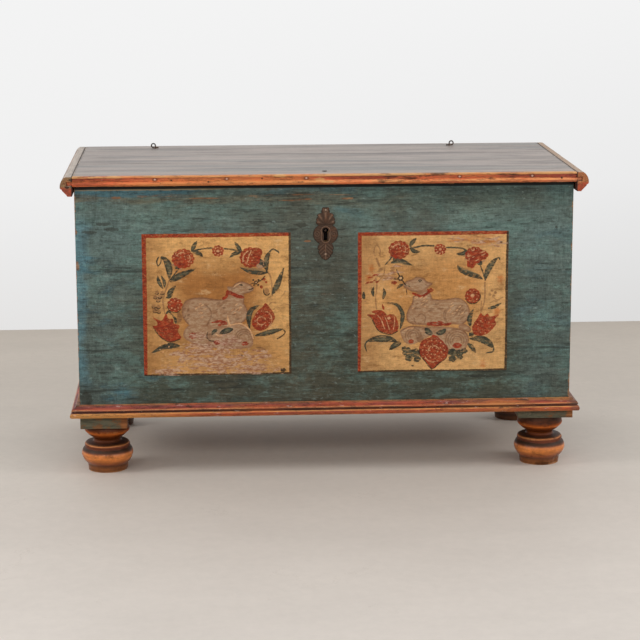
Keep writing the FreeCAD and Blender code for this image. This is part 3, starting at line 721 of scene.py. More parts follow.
@dataclass(frozen=True)
class StripPaint:
    """The red and brown paint of a moulding, by the height of its profile."""

    name: str
    low: float
    high: float
    stops: tuple[tuple[float, str], ...]
    wood: str = "#c79c6c"
    bright: str = "#c4683a"
    wear: float = 0.5
    arrises: tuple[float, ...] = ()
    golden: str = "#c08144"
    dull: str = "#83474c"
    pegs: tuple[Point, ...] = ()
    nails: tuple[Point, ...] = ()
    pale: tuple[Point, ...] = ()
    hollow: Point = (0.5, 0.0)
    scuffs: float = 0.63
    blond: float = 0.0
    faded: float = 0.0
    ends: float = 0.0
    gilt: float = 0.0

    def material(self) -> bpy.types.Material:
        """Build the material.

        Returns:
            The material.
        """
        g = Graph(self.name)
        wave = g.noise(14, (1, 1, 1), detail=4, seed=3) - 0.5
        share = ((g.z - self.low) / (self.high - self.low) + wave * 0.04).held()
        paint = g.ramp(share, *self.stops)
        streak = g.noise(7, (1, 1, 16), detail=7, rough=0.7, seed=4)
        stretch = g.noise(2.2, (1, 1, 6), detail=6, rough=0.66, seed=9)
        if self.blond:
            patchy = g.noise(7, (1, 1, 9), detail=7, rough=0.74, seed=14)
            orange = (0 - g.x).rise(-0.05, 0.2) * share.rise(0.74, 0.62) * patchy.rise(0.4, 0.5)
            paint = g.mix(orange * self.blond, paint, self.golden)
            paint = g.mix((0 - g.x).rise(0.45, 0.53) * stretch.rise(0.62, 0.5) * 0.6, paint, "#a03c28")
            paint = g.mix(patchy.rise(0.54, 0.61) * share.rise(0.84, 0.76) * 0.6, paint, "#a8432f")
        speck = g.noise(90, (0.5, 0.5, 1.5), detail=5, rough=0.66, seed=5)
        paint = g.mix(streak.rise(0.46, 0.6) * 0.6, paint, self.bright)
        grain = g.noise(26, (1, 1, 14), detail=7, rough=0.72, seed=10)
        paint = g.shade(paint, 1 + (streak - 0.5) * 1.1 + (speck - 0.5) * 0.9 + (grain - 0.5) * 1.2)
        paint = g.mix(stretch.rise(0.5, 0.62) * 0.5, paint, self.golden)
        paint = g.mix(stretch.rise(0.46, 0.36) * 0.45, paint, self.dull)
        dirt = g.noise(11, (1, 1, 4), detail=8, rough=0.76, seed=6)
        paint = g.mix(dirt.rise(0.54, 0.62) * 0.8, paint, "#36221a")
        # painted shade: the groove of the profile is darkened along its hollow
        if self.hollow[1]:
            deep = abs(share - self.hollow[0]) - (stretch - 0.5) * 0.12
            paint = g.mix(deep.rise(self.hollow[1], self.hollow[1] * 0.5) * 0.6, paint, "#38211a")
            gold = share.rise(0.4, 0.34) * (stretch * 0.7 - g.x).rise(0.6, 0.9)
            paint = g.mix(gold * self.gilt, paint, "#d0964e")
        line = abs(g.noise(5, (1, 1, 15), detail=8, rough=0.74, seed=11) - 0.5).rise(0.014, 0.004)
        paint = g.mix(line * 0.75, paint, "#2e1c15")
        worn = g.noise(17, (0.6, 0.6, 4), detail=7, rough=0.75, seed=8)
        line = g.ramp(share, *((stop, "#ffffff" if stop in self.arrises else "#000000")
                               for stop, _ in self.stops))
        arris = Value(g, g.node("ShaderNodeRGBToBW", None, {0: line}).outputs[0])
        gone = (worn + arris * 0.16).rise(0.7 - self.wear * 0.1, 0.76 - self.wear * 0.1)
        colour = g.mix(gone * 0.8, paint, self.wood)
        scuffed = g.noise(40, (1, 1, 3), detail=7, rough=0.76, seed=12)
        colour = g.mix(scuffed.rise(self.scuffs, self.scuffs + 0.05) * 0.6, colour, "#c9a79a")
        tip = (abs(g.x) + (worn - 0.5) * 0.05).rise(0.59, 0.608) * self.ends
        colour = g.mix(tip * g.x.rise(-0.1, 0.1), colour, "#5e463a")
        side = (0 - g.facing[0]).rise(0.5, 0.9) * self.faded
        colour = g.mix(side * (0.7 + (streak - 0.5) * 2), colour, "#b09c90")
        # painted shadow: a darker ring round each nail head
        for index, (x, z) in enumerate(self.nails):
            colour = g.mix(g.spot(x, z, 0.014, 0.0095, 0.14, index) * 0.6, colour, "#6b3b2a")
        for index, (x, z) in enumerate(self.pale):
            colour = g.mix(g.spot(x, z, 0.028, 0.007, 0.3, index + 9) * 0.5, colour, "#e6ba78")
        # painted shade: near-black spots stand for the peg holes
        for index, (x, z) in enumerate(self.pegs):
            colour = g.mix(g.spot(x, z, 0.0048, 0.0042, 0.1, index) * 0.9, colour, "#1c120d")
        return g.finish(colour, speck * 0.3 + 0.38, streak * 0.4 + grain * 0.3 + speck * 0.3, 0.6 * MM)


@dataclass(frozen=True)
class LidPaint:
    """The worn grey-brown top of the lid, glossy enough to catch the pale wall."""

    name: str = "lid_paint"
    front: float = -0.28845
    back: float = 0.30645
    half_width: float = CLEAT_INNER
    top: float = LID_TOP
    under: float = LID_UNDER
    seams: tuple[float, ...] = (-0.0743, 0.1042)

    def material(self) -> bpy.types.Material:
        """Build the material.

        Returns:
            The material.
        """
        g = Graph(self.name)
        long = g.noise(2.4, (1, 12, 12), detail=8, rough=0.7, seed=1, warp=0.2)
        band = g.noise(1.0, (1, 15, 1), detail=5, rough=0.6, seed=5)
        fine = g.noise(24, (1, 12, 12), detail=6, rough=0.68, seed=2)
        cloud = g.noise(2.6, (1, 2.4, 1), detail=5, seed=3)
        colour = g.ramp(long.held(), (0.34, "#544a45"), (0.44, "#7f736c"), (0.5, "#9b8e86"),
                        (0.57, "#a99c95"), (0.66, "#77716e"))
        colour = g.mix(band.rise(0.5, 0.64) * 0.5, colour, "#6b7372")
        colour = g.mix(band.rise(0.5, 0.38) * 0.35, colour, "#b9aaa1")
        colour = g.shade(colour, 1 + (fine - 0.5) * 0.8 + (cloud - 0.5) * 0.3)
        fleck = g.noise(26, (1, 6, 1), detail=8, rough=0.78, seed=9)
        colour = g.mix(fleck.rise(0.56, 0.63) * 0.4, colour, "#57504b")
        colour = g.mix(fleck.rise(0.43, 0.36) * 0.3, colour, "#c2b6ae")
        scratch = abs(g.noise(3, (1, 20, 1), detail=8, rough=0.74, seed=7) - 0.5).rise(0.01, 0.002)
        colour = g.mix(scratch * 0.5, colour, "#39312d")
        for index, seam in enumerate(self.seams):
            line = (abs(g.y - seam) - (long - 0.5) * 0.003).rise(0.0022, 0.0004)
            colour = g.mix(line * (0.55 + 0.2 * index), colour, "#3b332d")
        warm = (g.y + (fine - 0.5) * 0.03).rise(self.front + 0.09, self.front)
        colour = g.mix(warm * 0.25, colour, "#a08c80")
        joint = abs(g.x).rise(self.half_width - 0.005, self.half_width - 0.002)
        colour = g.mix(joint * 0.8, colour, "#241d19")
        gap = g.edge((-self.half_width, self.front, self.under), (self.half_width, self.back, self.top))
        worn = (gap - (g.noise(36, (0.5, 1, 1), seed=8) - 0.45) * 0.014).rise(0.0022, 0.0)
        colour = g.mix(worn * 0.7, colour, "#b59f8a")
        below = (g.z - self.under).rise(0.003, 0.0005)
        plank = (g.y - 0.19).least((g.y - 0.01) * -1) + 0.09
        wood, _ = g.timber(abs(plank), g.vector("MULTIPLY", g.place, (1, 12, 12)), "#a98358", "#775335")
        wood = g.mix(cloud.rise(0.5, 0.68) * 0.4, wood, "#4d3826")
        colour = g.mix(below, colour, wood)
        rough = fine * 0.5 + long * 0.4 + below * 0.2
        return g.finish(colour, rough, long * 0.5 + fine * 0.5, 0.5 * MM, specular=0.45)


@dataclass(frozen=True)
class CleatPaint:
    """An end cleat: worn pale on top, streaky at its ends, with red left on its lower half."""

    name: str = "cleat_wood"
    inner: float = CLEAT_INNER
    red_below: float = 0.711

    def material(self) -> bpy.types.Material:
        """Build the material.

        Returns:
            The material.
        """
        g = Graph(self.name)
        long = g.noise(5, (11, 1, 11), detail=8, rough=0.7, seed=1)
        fine = g.noise(30, (9, 1, 9), detail=6, rough=0.68, seed=2)
        layer = g.noise(60, (1.2, 1, 3.5), detail=8, rough=0.78, seed=3)
        colour = g.mix(long.rise(0.4, 0.6), "#8c5f3f", "#5d3b29")
        colour = g.mix(g.x.rise(0.0, 0.1) * 0.6, colour, "#ad6538")
        end_on = abs(g.facing[1]).rise(0.6, 0.9)
        streaky = g.ramp(layer.held(), (0.36, "#2c1c15"), (0.44, "#7a4a2c"), (0.49, "#a5875f"),
                         (0.54, "#4f3424"), (0.6, "#a06a42"))
        streaky = g.mix(g.x.rise(0.0, 0.1) * 0.55, streaky, "#b8683a")
        colour = g.mix(end_on, colour, streaky)
        uneven = g.noise(60, detail=6, rough=0.72, seed=4)
        red = (g.z + (uneven - 0.5) * 0.02).rise(self.red_below + 0.003, self.red_below - 0.002)
        colour = g.mix(red * 0.85, colour, g.mix(uneven.rise(0.42, 0.6), "#b04a30", "#7c3325"))
        flat = g.facing[2].rise(0.5, 0.9)
        worn = g.mix(long.rise(0.36, 0.62), "#c9bdb1", "#a0948a")
        worn = g.mix(g.x.rise(0.0, 0.1) * 0.6, worn, "#a9835f")
        colour = g.mix(flat * (1 - (abs(g.x) - self.inner).rise(0.021, 0.027) * 0.6), colour, worn)
        joint = (abs(g.x) - self.inner).rise(0.0035, 0.001)
        colour = g.mix(joint * 0.85, colour, "#241d19")
        for x, z in ((-0.607, 0.7305), (-0.6055, 0.7175), (-0.615, 0.7125)):
            colour = g.mix(g.spot(x, z, 0.011, 0.0055, 0.4) * end_on * 0.85, colour, "#1c120d")
        colour = g.shade(colour, 1 + (fine - 0.5) * 0.9 + (long - 0.5) * 0.6)
        return g.finish(colour, fine * 0.3 + 0.42, long * 0.4 + fine * 0.3 + layer * 0.3, 0.7 * MM)


@dataclass(frozen=True)
class BlockPaint:
    """The grey-green paint left on a foot block, with the wood bare at its right end."""

    name: str = "block_paint"
    ends: Point = (-0.486, 0.61)
    depth: float = 0.01

    def material(self) -> bpy.types.Material:
        """Build the material.

        Returns:
            The material.
        """
        g = Graph(self.name)
        cloud = g.noise(26, (1, 1, 1.6), detail=7, rough=0.7, seed=1)
        grain = g.noise(30, (1, 1, 7), detail=7, rough=0.7, seed=2)
        wood = g.mix(grain.rise(0.4, 0.6), "#a5683a", "#6f4224")
        paint = g.mix(grain.rise(0.38, 0.62), "#6c6854", "#4b4a3d")
        colour = g.mix(cloud.rise(0.5, 0.62) * 0.7, paint, "#6b4b30")
        colour = g.mix(cloud.rise(0.42, 0.34) * 0.5, colour, "#7f7c69")
        uneven = (cloud - 0.5) * 0.03
        bare = (g.z * 0).most(cloud.rise(0.56, 0.6) * 0.4)
        for end in self.ends:
            outer = (g.x + uneven - end).rise(-self.depth - 0.008, -self.depth)
            bare = bare.most(outer * (g.x - end).rise(0.03, 0.02))
        colour = g.mix(bare * 0.85, colour, wood)
        below = (g.facing[2] * -1).rise(0.5, 0.9)
        colour = g.mix(below * 0.7, colour, "#5a4632")
        colour = g.shade(colour, 1 + (grain - 0.5) * 1.0 + (cloud - 0.5) * 0.5)
        return g.finish(colour, grain * 0.3 + 0.45, grain * 0.6 + cloud * 0.4, 0.7 * MM, specular=0.15)


@dataclass(frozen=True)
class FootVarnish:
    """The brown varnish of a turned foot, rubbed on its rims; dark in its hollows from dirt and painted
    shade, with a painted highlight at the disc's edge and painted shade on the back feet.
    """

    name: str = "foot_varnish"

    def material(self) -> bpy.types.Material:
        """Build the material.

        Returns:
            The material.
        """
        g = Graph(self.name)
        up = g.attribute("height_share")
        rim = g.attribute("rim_share")
        streak = g.noise(16, (1, 1, 6), detail=7, rough=0.68, seed=1)
        speck = g.noise(110, detail=5, rough=0.66, seed=2)
        # the dark band below the disc (0.43 to 0.515) is dirt and painted shade; the pale line at the disc's
        # edge (0.578) is a painted highlight
        colour = g.ramp((up + (streak - 0.5) * 0.05).held(), (0.0, "#96602f"), (0.03, "#6f3f18"),
                        (0.08, "#7c4419"), (0.14, "#5a3016"), (0.2, "#90491d"), (0.32, "#cf7a36"),
                        (0.4, "#c87438"), (0.43, "#6a3c24"), (0.455, "#3f291d"), (0.488, "#3c281c"),
                        (0.515, "#5e3020"), (0.562, "#6c3a24"), (0.578, "#b87444"), (0.597, "#5a3319"),
                        (0.61, "#33201a"), (0.64, "#5a2c14"), (0.7, "#5c2b0d"), (0.77, "#5f2b0d"),
                        (0.81, "#823f15"), (0.845, "#c26728"), (0.875, "#964a1a"), (0.92, "#5f2e12"),
                        (1.0, "#4a2a1a"))
        colour = g.shade(colour, 1 + (streak - 0.5) * 1.5 + (speck - 0.5) * 0.9)
        worn = (rim + (g.noise(40, detail=6, rough=0.72, seed=3) - 0.5) * 1.8).rise(0.62, 0.85)
        colour = g.mix(worn * 0.22, colour, "#c98b52")
        dirt = g.noise(20, (1, 1, 2), detail=8, rough=0.74, seed=5).rise(0.54, 0.65)
        # dirt, and on the back feet painted shade: the feet behind are darkened towards the back
        colour = g.mix((dirt * 0.6).most(g.y.rise(-0.05, 0.05) * 0.6), colour, "#26160d")
        coat = (1 - dirt) * up.rise(0.44, 0.4) * 0.6
        return g.finish(colour, speck * 0.25 + 0.34, streak * 0.4 + speck * 0.6, 0.5 * MM, coat=coat,
                        coat_rough=0.14, specular=0.14)


def dress(node: str, material: bpy.types.Material) -> None:
    """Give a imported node's slots one finish.

    Args:
        node: the node's name.
        material: its finish.
    """
    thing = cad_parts[node]
    for slot in thing.material_slots:
        slot.material = material
    LOG.info("%s wears %s", node, material.name)


class Coat(Enum):
    """The layers of paint on a panel, from the lowest up."""

    BODY = "coat_body"
    SHADE = "coat_shade"
    LEAF = "coat_leaf"
    GLINT = "coat_glint"
    RED = "coat_red"
    LINE = "coat_line"
    PALE = "coat_pale"
    STAIN = "coat_stain"
    RUB = "coat_rub"


BODY, SHADE, LEAF, GLINT, RED, LINE, PALE, STAIN, RUB = Coat


def paired(places: Sequence[float]) -> np.ndarray:
    """Turn a run of numbers into points, one row each."""
    return np.reshape(np.array(places, dtype=float), (-1, 2))


def flowing(points: Sequence[Point], per_run: int = 10, closed: bool = False) -> np.ndarray:
    """Draw a smooth line through points.

    Args:
        points: the points.
        per_run: how many steps each run between two of them gets.
        closed: whether the last point is joined to the first.

    Returns:
        The line's points, one row each.
    """
    spots = np.array(points, dtype=float)
    if closed:
        ring = np.vstack([spots[-1:], spots, spots[:2]])
    else:
        ring = np.vstack([2 * spots[:1] - spots[1:2], spots, 2 * spots[-1:] - spots[-2:-1]])
    steps = np.linspace(0, 1, per_run, endpoint=False)[:, None]
    runs = []
    for before, start, end, after in zip(ring, ring[1:], ring[2:], ring[3:]):
        runs.append(0.5 * (2 * start + (end - before) * steps
                           + (2 * before - 5 * start + 4 * end - after) * steps ** 2
                           + (3 * start - before - 3 * end + after) * steps ** 3))
    line = np.vstack(runs)
    return line if closed else np.vstack([line, spots[-1:]])


class Canvas:
    """Layers of brush strokes on a grid; each layer holds how far a point is inside its paint.

    Places and sizes are in hundredths of the panel's width, from its lower left corner.
    """

    reach = 1.6
    far = 9.0
    seed = 7

    def __init__(self, width: float, height: float, pitch: float) -> None:
        """Lay out an empty canvas.

        Args:
            width: the panel's width in metres.
            height: its height.
            pitch: the grid's pitch.
        """
        self.columns = round(width / pitch) + 1
        self.rows = round(height / pitch) + 1
        self.u = np.linspace(0, 100, self.columns)
        self.v = np.linspace(0, 100 * height / width, self.rows)
        self.layers = {coat: np.full((self.rows, self.columns), -self.reach) for coat in Coat}
        self.rng = np.random.default_rng(self.seed)

    def _lay(self, coat: Coat, low: np.ndarray, high: np.ndarray,
             inside: Callable[[np.ndarray, np.ndarray], np.ndarray]) -> None:
        """Add a stroke to a layer within a rectangle.

        Args:
            coat: the layer.
            low: the rectangle's lowest corner.
            high: its highest corner.
            inside: gives how far inside the stroke each point is.
        """
        i0, i1 = np.searchsorted(self.u, (low[0] - self.reach, high[0] + self.reach))
        j0, j1 = np.searchsorted(self.v, (low[1] - self.reach, high[1] + self.reach))
        if i1 <= i0 or j1 <= j0:
            return
        u, v = np.meshgrid(self.u[i0:i1], self.v[j0:j1])
        part = self.layers[coat][j0:j1, i0:i1]
        np.maximum(part, np.clip(inside(u, v), -self.reach, self.reach), out=part)

    def each(self, mark: Callable[..., None], *rows: Union[Coat, Sequence[float]], **options: float) -> None:
        """Make several marks of one kind.

        Args:
            mark: the method that makes one.
            rows: the layer where the marks share one, then the numbers of each mark.
            options: what is the same for all of them.
        """
        coats = [row for row in rows if isinstance(row, Coat)]
        for row in rows[len(coats):]:
            mark(*coats, *row, **options)

    def haze(self, coat: Coat, u: float, v: float, width: float, height: float) -> None:
        """Add a soft patch that fades from its centre outwards.

        Args:
            coat: the layer.
            u: its centre's place across.
            v: its centre's place up.
            width: half its width.
            height: half its height.
        """
        size = np.array((width, height))
        self._lay(coat, (u, v) - size, (u, v) + size,
                  lambda x, y: self.reach * (1 - 2 * np.hypot((x - u) / width, (y - v) / height)))

    def _trail(self, coat: Coat, width: float, line: np.ndarray, halves: np.ndarray) -> None:
        """Paint a line whose width changes along it.

        Args:
            coat: the layer.
            width: its greatest width.
            line: its points.
            halves: half its width at each point.
        """
        def inside(u: np.ndarray, v: np.ndarray) -> np.ndarray:
            """Measure how far inside the line's paint points are.

            Args:
                u: their places across.
                v: their places up.

            Returns:
                The distances, negative outside.
            """
            best = np.full(u.shape, -self.far)
            for (a, b), half in zip(line, halves):
                np.maximum(best, half - np.hypot(u - a, v - b), out=best)
            return best

        self._lay(coat, line.min(0) - width, line.max(0) + width, inside)

    def stroke(self, coat: Coat, width: float, *places: float, tip: float = 0.25, tail: float = 1.0) -> None:
        """Paint a stroke along a smooth line.

        Args:
            coat: the layer.
            width: the stroke's greatest width.
            places: the line's points, each across and up.
            tip: the share of the width at its start.
            tail: the share of the width at its end.
        """
        points = paired(places)
        longest = max(math.dist(a, b) for a, b in zip(points, points[1:]))
        line = flowing(points, max(10, math.ceil(longest / (width * 0.35))))
        share = np.linspace(0, 1, len(line))
        taper = np.minimum(1, np.minimum(tip + share * 3, tail + (1 - share) * 3))
        self._trail(coat, width, line, (width * 0.55 + 0.08) * taper)

    def leaf(self, coat: Coat, width: float, *places: float, fullest: float = 0.45) -> None:
        """Paint a leaf that is pointed at both ends.

        Args:
            coat: the layer.
            width: its greatest width.
            places: its midrib's points, from the stalk to the tip.
            fullest: where along it it is widest.
        """
        line = flowing(paired(places), 14)
        share = np.linspace(0, 1, len(line))
        bend = np.where(share < fullest, share / fullest, (1 - share) / (1 - fullest))
        self._trail(coat, width, line, width / 2 * np.sin(np.clip(bend, 0, 1) * math.pi / 2) ** 0.8)

    def disc(self, coat: Coat, u: float, v: float, radius: float, squash: float = 1, lobes: int = 0,
             depth: float = 0.12) -> None:
        """Paint a round or scalloped spot.

        Args:
            coat: the layer.
            u: its middle's place across.
            v: its middle's place up.
            radius: its radius across.
            squash: its height for its width.
            lobes: how many scallops its rim has.
            depth: how deep they are, as a share of the radius.
        """
        def inside(x: np.ndarray, y: np.ndarray) -> np.ndarray:
            """Measure how far inside the spot points are.

            Args:
                x: their places across.
                y: their places up.

            Returns:
                The distances, negative outside.
            """
            across, up = x - u, (y - v) / squash
            rim = radius
            if lobes:
                rim = radius * (1 - depth + depth * np.abs(np.cos(lobes / 2 * np.arctan2(up, across))))
            return (rim - np.hypot(across, up)) * min(1, squash)

        at, size = np.array((u, v)), radius * max(1, squash)
        self._lay(coat, at - size, at + size, inside)

    def blob(self, coat: Coat, *places: float, smooth: bool = True) -> None:
        """Paint a patch with a drawn outline.

        Args:
            coat: the layer.
            places: the outline's points.
            smooth: whether the outline flows through its points.
        """
        rim = flowing(paired(places), 6, closed=True) if smooth else paired(places)
        nexts = np.roll(rim, -1, axis=0)

        def inside(u: np.ndarray, v: np.ndarray) -> np.ndarray:
            """Measure how far inside the outline points are.

            Args:
                u: their places across.
                v: their places up.

            Returns:
                The distances, negative outside.
            """
            gap = np.full(u.shape, self.far)
            within = np.zeros(u.shape, dtype=bool)
            for (a, b), (c, d) in zip(rim, nexts):
                run = max((c - a) ** 2 + (d - b) ** 2, 1e-9)
                share = np.clip(((u - a) * (c - a) + (v - b) * (d - b)) / run, 0, 1)
                np.minimum(gap, np.hypot(u - a - share * (c - a), v - b - share * (d - b)), out=gap)
                slope = (c - a) * (v - b) / (d - b if abs(d - b) > 1e-9 else 1e-9) + a
                within ^= ((b > v) != (d > v)) & (u < slope)
            return np.where(within, gap, -gap)

        self._lay(coat, rim.min(0), rim.max(0), inside)

    def arc(self, coat: Coat, width: float, u: float, v: float, radius: float, start: float, end: float,
            squash: float = 1) -> None:
        """Paint a stroke along an arc.

        Args:
            coat: the layer.
            width: its width.
            u: its centre's place across.
            v: its centre's place up.
            radius: its radius.
            start: the angle it starts at, in degrees.
            end: the angle it ends at.
            squash: its height for its width.
        """
        turns = np.radians(np.linspace(start, end, max(3, round(abs(end - start) / 30) + 1)))
        places = np.column_stack([u + radius * np.cos(turns), v + radius * squash * np.sin(turns)])
        self.stroke(coat, width, *places.ravel(), tip=0.6, tail=0.6)

    def dots(self, coat: Coat, size: float, u: float, v: float, radius: float, count: int, start: float = 0,
             sweep: float = 360) -> None:
        """Paint a ring of small dots.

        Args:
            coat: the layer.
            size: the radius of a dot.
            u: the ring's middle across.
            v: the ring's middle up.
            radius: its radius.
            count: how many dots it has.
            start: the first one's angle in degrees.
            sweep: how far round they go.
        """
        for index in range(count):
            turn = math.radians(start + sweep * index / count)
            off = self.rng.uniform(-0.12, 0.12, 3)
            self.disc(coat, u + radius * math.cos(turn) + off[0], v + radius * math.sin(turn) + off[1],
                      size * (1 + off[2]))

    def hatch(self, coat: Coat, width: float, left: float, low: float, right: float, high: float, count: int,
              shortest: float, longest: float, slope: float = 0.0) -> None:
        """Scatter short strokes over a rectangle.

        Args:
            coat: the layer.
            width: their width.
            left: the rectangle's left side.
            low: its bottom.
            right: its right side.
            high: its top.
            count: how many there are.
            shortest: the length of the shortest.
            longest: the length of the longest.
            slope: how much they rise for their length.
        """
        for _ in range(count):
            u, v = self.rng.uniform((left, low), (right, high))
            half = self.rng.uniform(shortest, longest) / 2
            rise = half * (slope + self.rng.uniform(-0.12, 0.12))
            self.stroke(coat, width * self.rng.uniform(0.6, 1.2), u - half, v - rise,
                        u, v + self.rng.uniform(-0.2, 0.2), u + half, v + rise, tail=0.25)

    def carnation(self, u: float, v: float, radius: float, stalk: float, squash: float = 0.9) -> None:
        """Paint a carnation seen from the side, with a notch where its stalk comes in.

        Args:
            u: its middle's place across.
            v: its middle's place up.
            radius: its radius.
            stalk: the direction of its stalk in degrees.
            squash: its height for its width.
        """
        def out(reach: float, turn: float, flat: float = squash) -> Point:
            """Find the place at a share of the radius in a direction."""
            return u + radius * reach * math.cos(turn), v + radius * reach * flat * math.sin(turn)

        way = math.radians(stalk)
        self.disc(RED, u, v, radius, squash, 13, 0.1)
        for reach, sweep, size in ((0.78, 150, 9), (0.5, 120, 6), (0.24, 110, 3)):
            for index in range(size):
                turn = way + math.pi + math.radians(sweep * (index / (size - 1) - 0.5) * 1.5)
                self.disc(PALE, *out(reach, turn), self.rng.uniform(0.22, 0.42))
        for side in (-1, 1):
            self.arc(PALE, 0.4, u, v, radius * 0.62, stalk + 180 + side * 15, stalk + 180 + side * 95,
                     squash)
        foot = out(0.75, way)
        for side in (-0.45, 0.45):
            tip = out(1.15, way + side)
            self.stroke(BODY, 1.1, *tip, (foot[0] + tip[0]) / 2, (foot[1] + tip[1]) / 2, *foot)
        self.leaf(LEAF, 2.6, *out(1.25, way, 0.88), *foot, *out(0.3, way, 1))

    def floret(self, u: float, v: float, radius: float, centre: bool = True) -> None:
        """Paint a small round flower with a ring of pale dots.

        Args:
            u: its middle's place across.
            v: its middle's place up.
            radius: its radius.
            centre: whether its middle is pale.
        """
        self.disc(RED, u, v, radius, 0.96, 9, 0.1)
        self.dots(PALE, 0.42, u, v, radius * 0.6, 8)
        self.dots(PALE, 0.25, u, v, radius * 0.86, 9, 20)
        if centre:
            self.disc(PALE, u, v, radius * 0.22)

    def shaded_leaf(self, width: float, *places: float, glint: float = 0.4) -> None:
        """Paint a dark leaf with a paler brush mark down its middle.

        Args:
            width: its greatest width.
            places: its midrib's points.
            glint: the width of the paler mark as a share of the leaf's.
        """
        self.leaf(LEAF, width, *places)
        if glint:
            inner = flowing(paired(places), 6)[2:-2]
            self.leaf(GLINT, width * glint, *inner[::3].ravel())


class LambPanel(Canvas):
    """What both panels have: a lamb lying on a mound inside a wreath of flowers."""

    def border(self, left: float, top: float) -> None:
        """Paint the red band at the left and the top, and the dark line at the right and the bottom.

        Args:
            left: the width of the band at the left.
            top: its width at the top.
        """
        high = self.v[-1]
        self.blob(RED, -1, -1, left * 0.75, -1, left, high * 0.5, left, high + 1, -1, high + 1,
                  smooth=False)
        self.blob(RED, -1, high - top, 60, high - top - 0.1, 101, high - top * 0.9, 101, high + 1,
                  -1, high + 1, smooth=False)
        self.stroke(LINE, 2.2, 99.6, -1, 99.9, 30, 99.6, 60, 99.9, high + 1, tip=1)
        self.stroke(LINE, 2.0, 1, -0.2, 30, 0.2, 66, -0.2, 101, 0.2, tip=1)


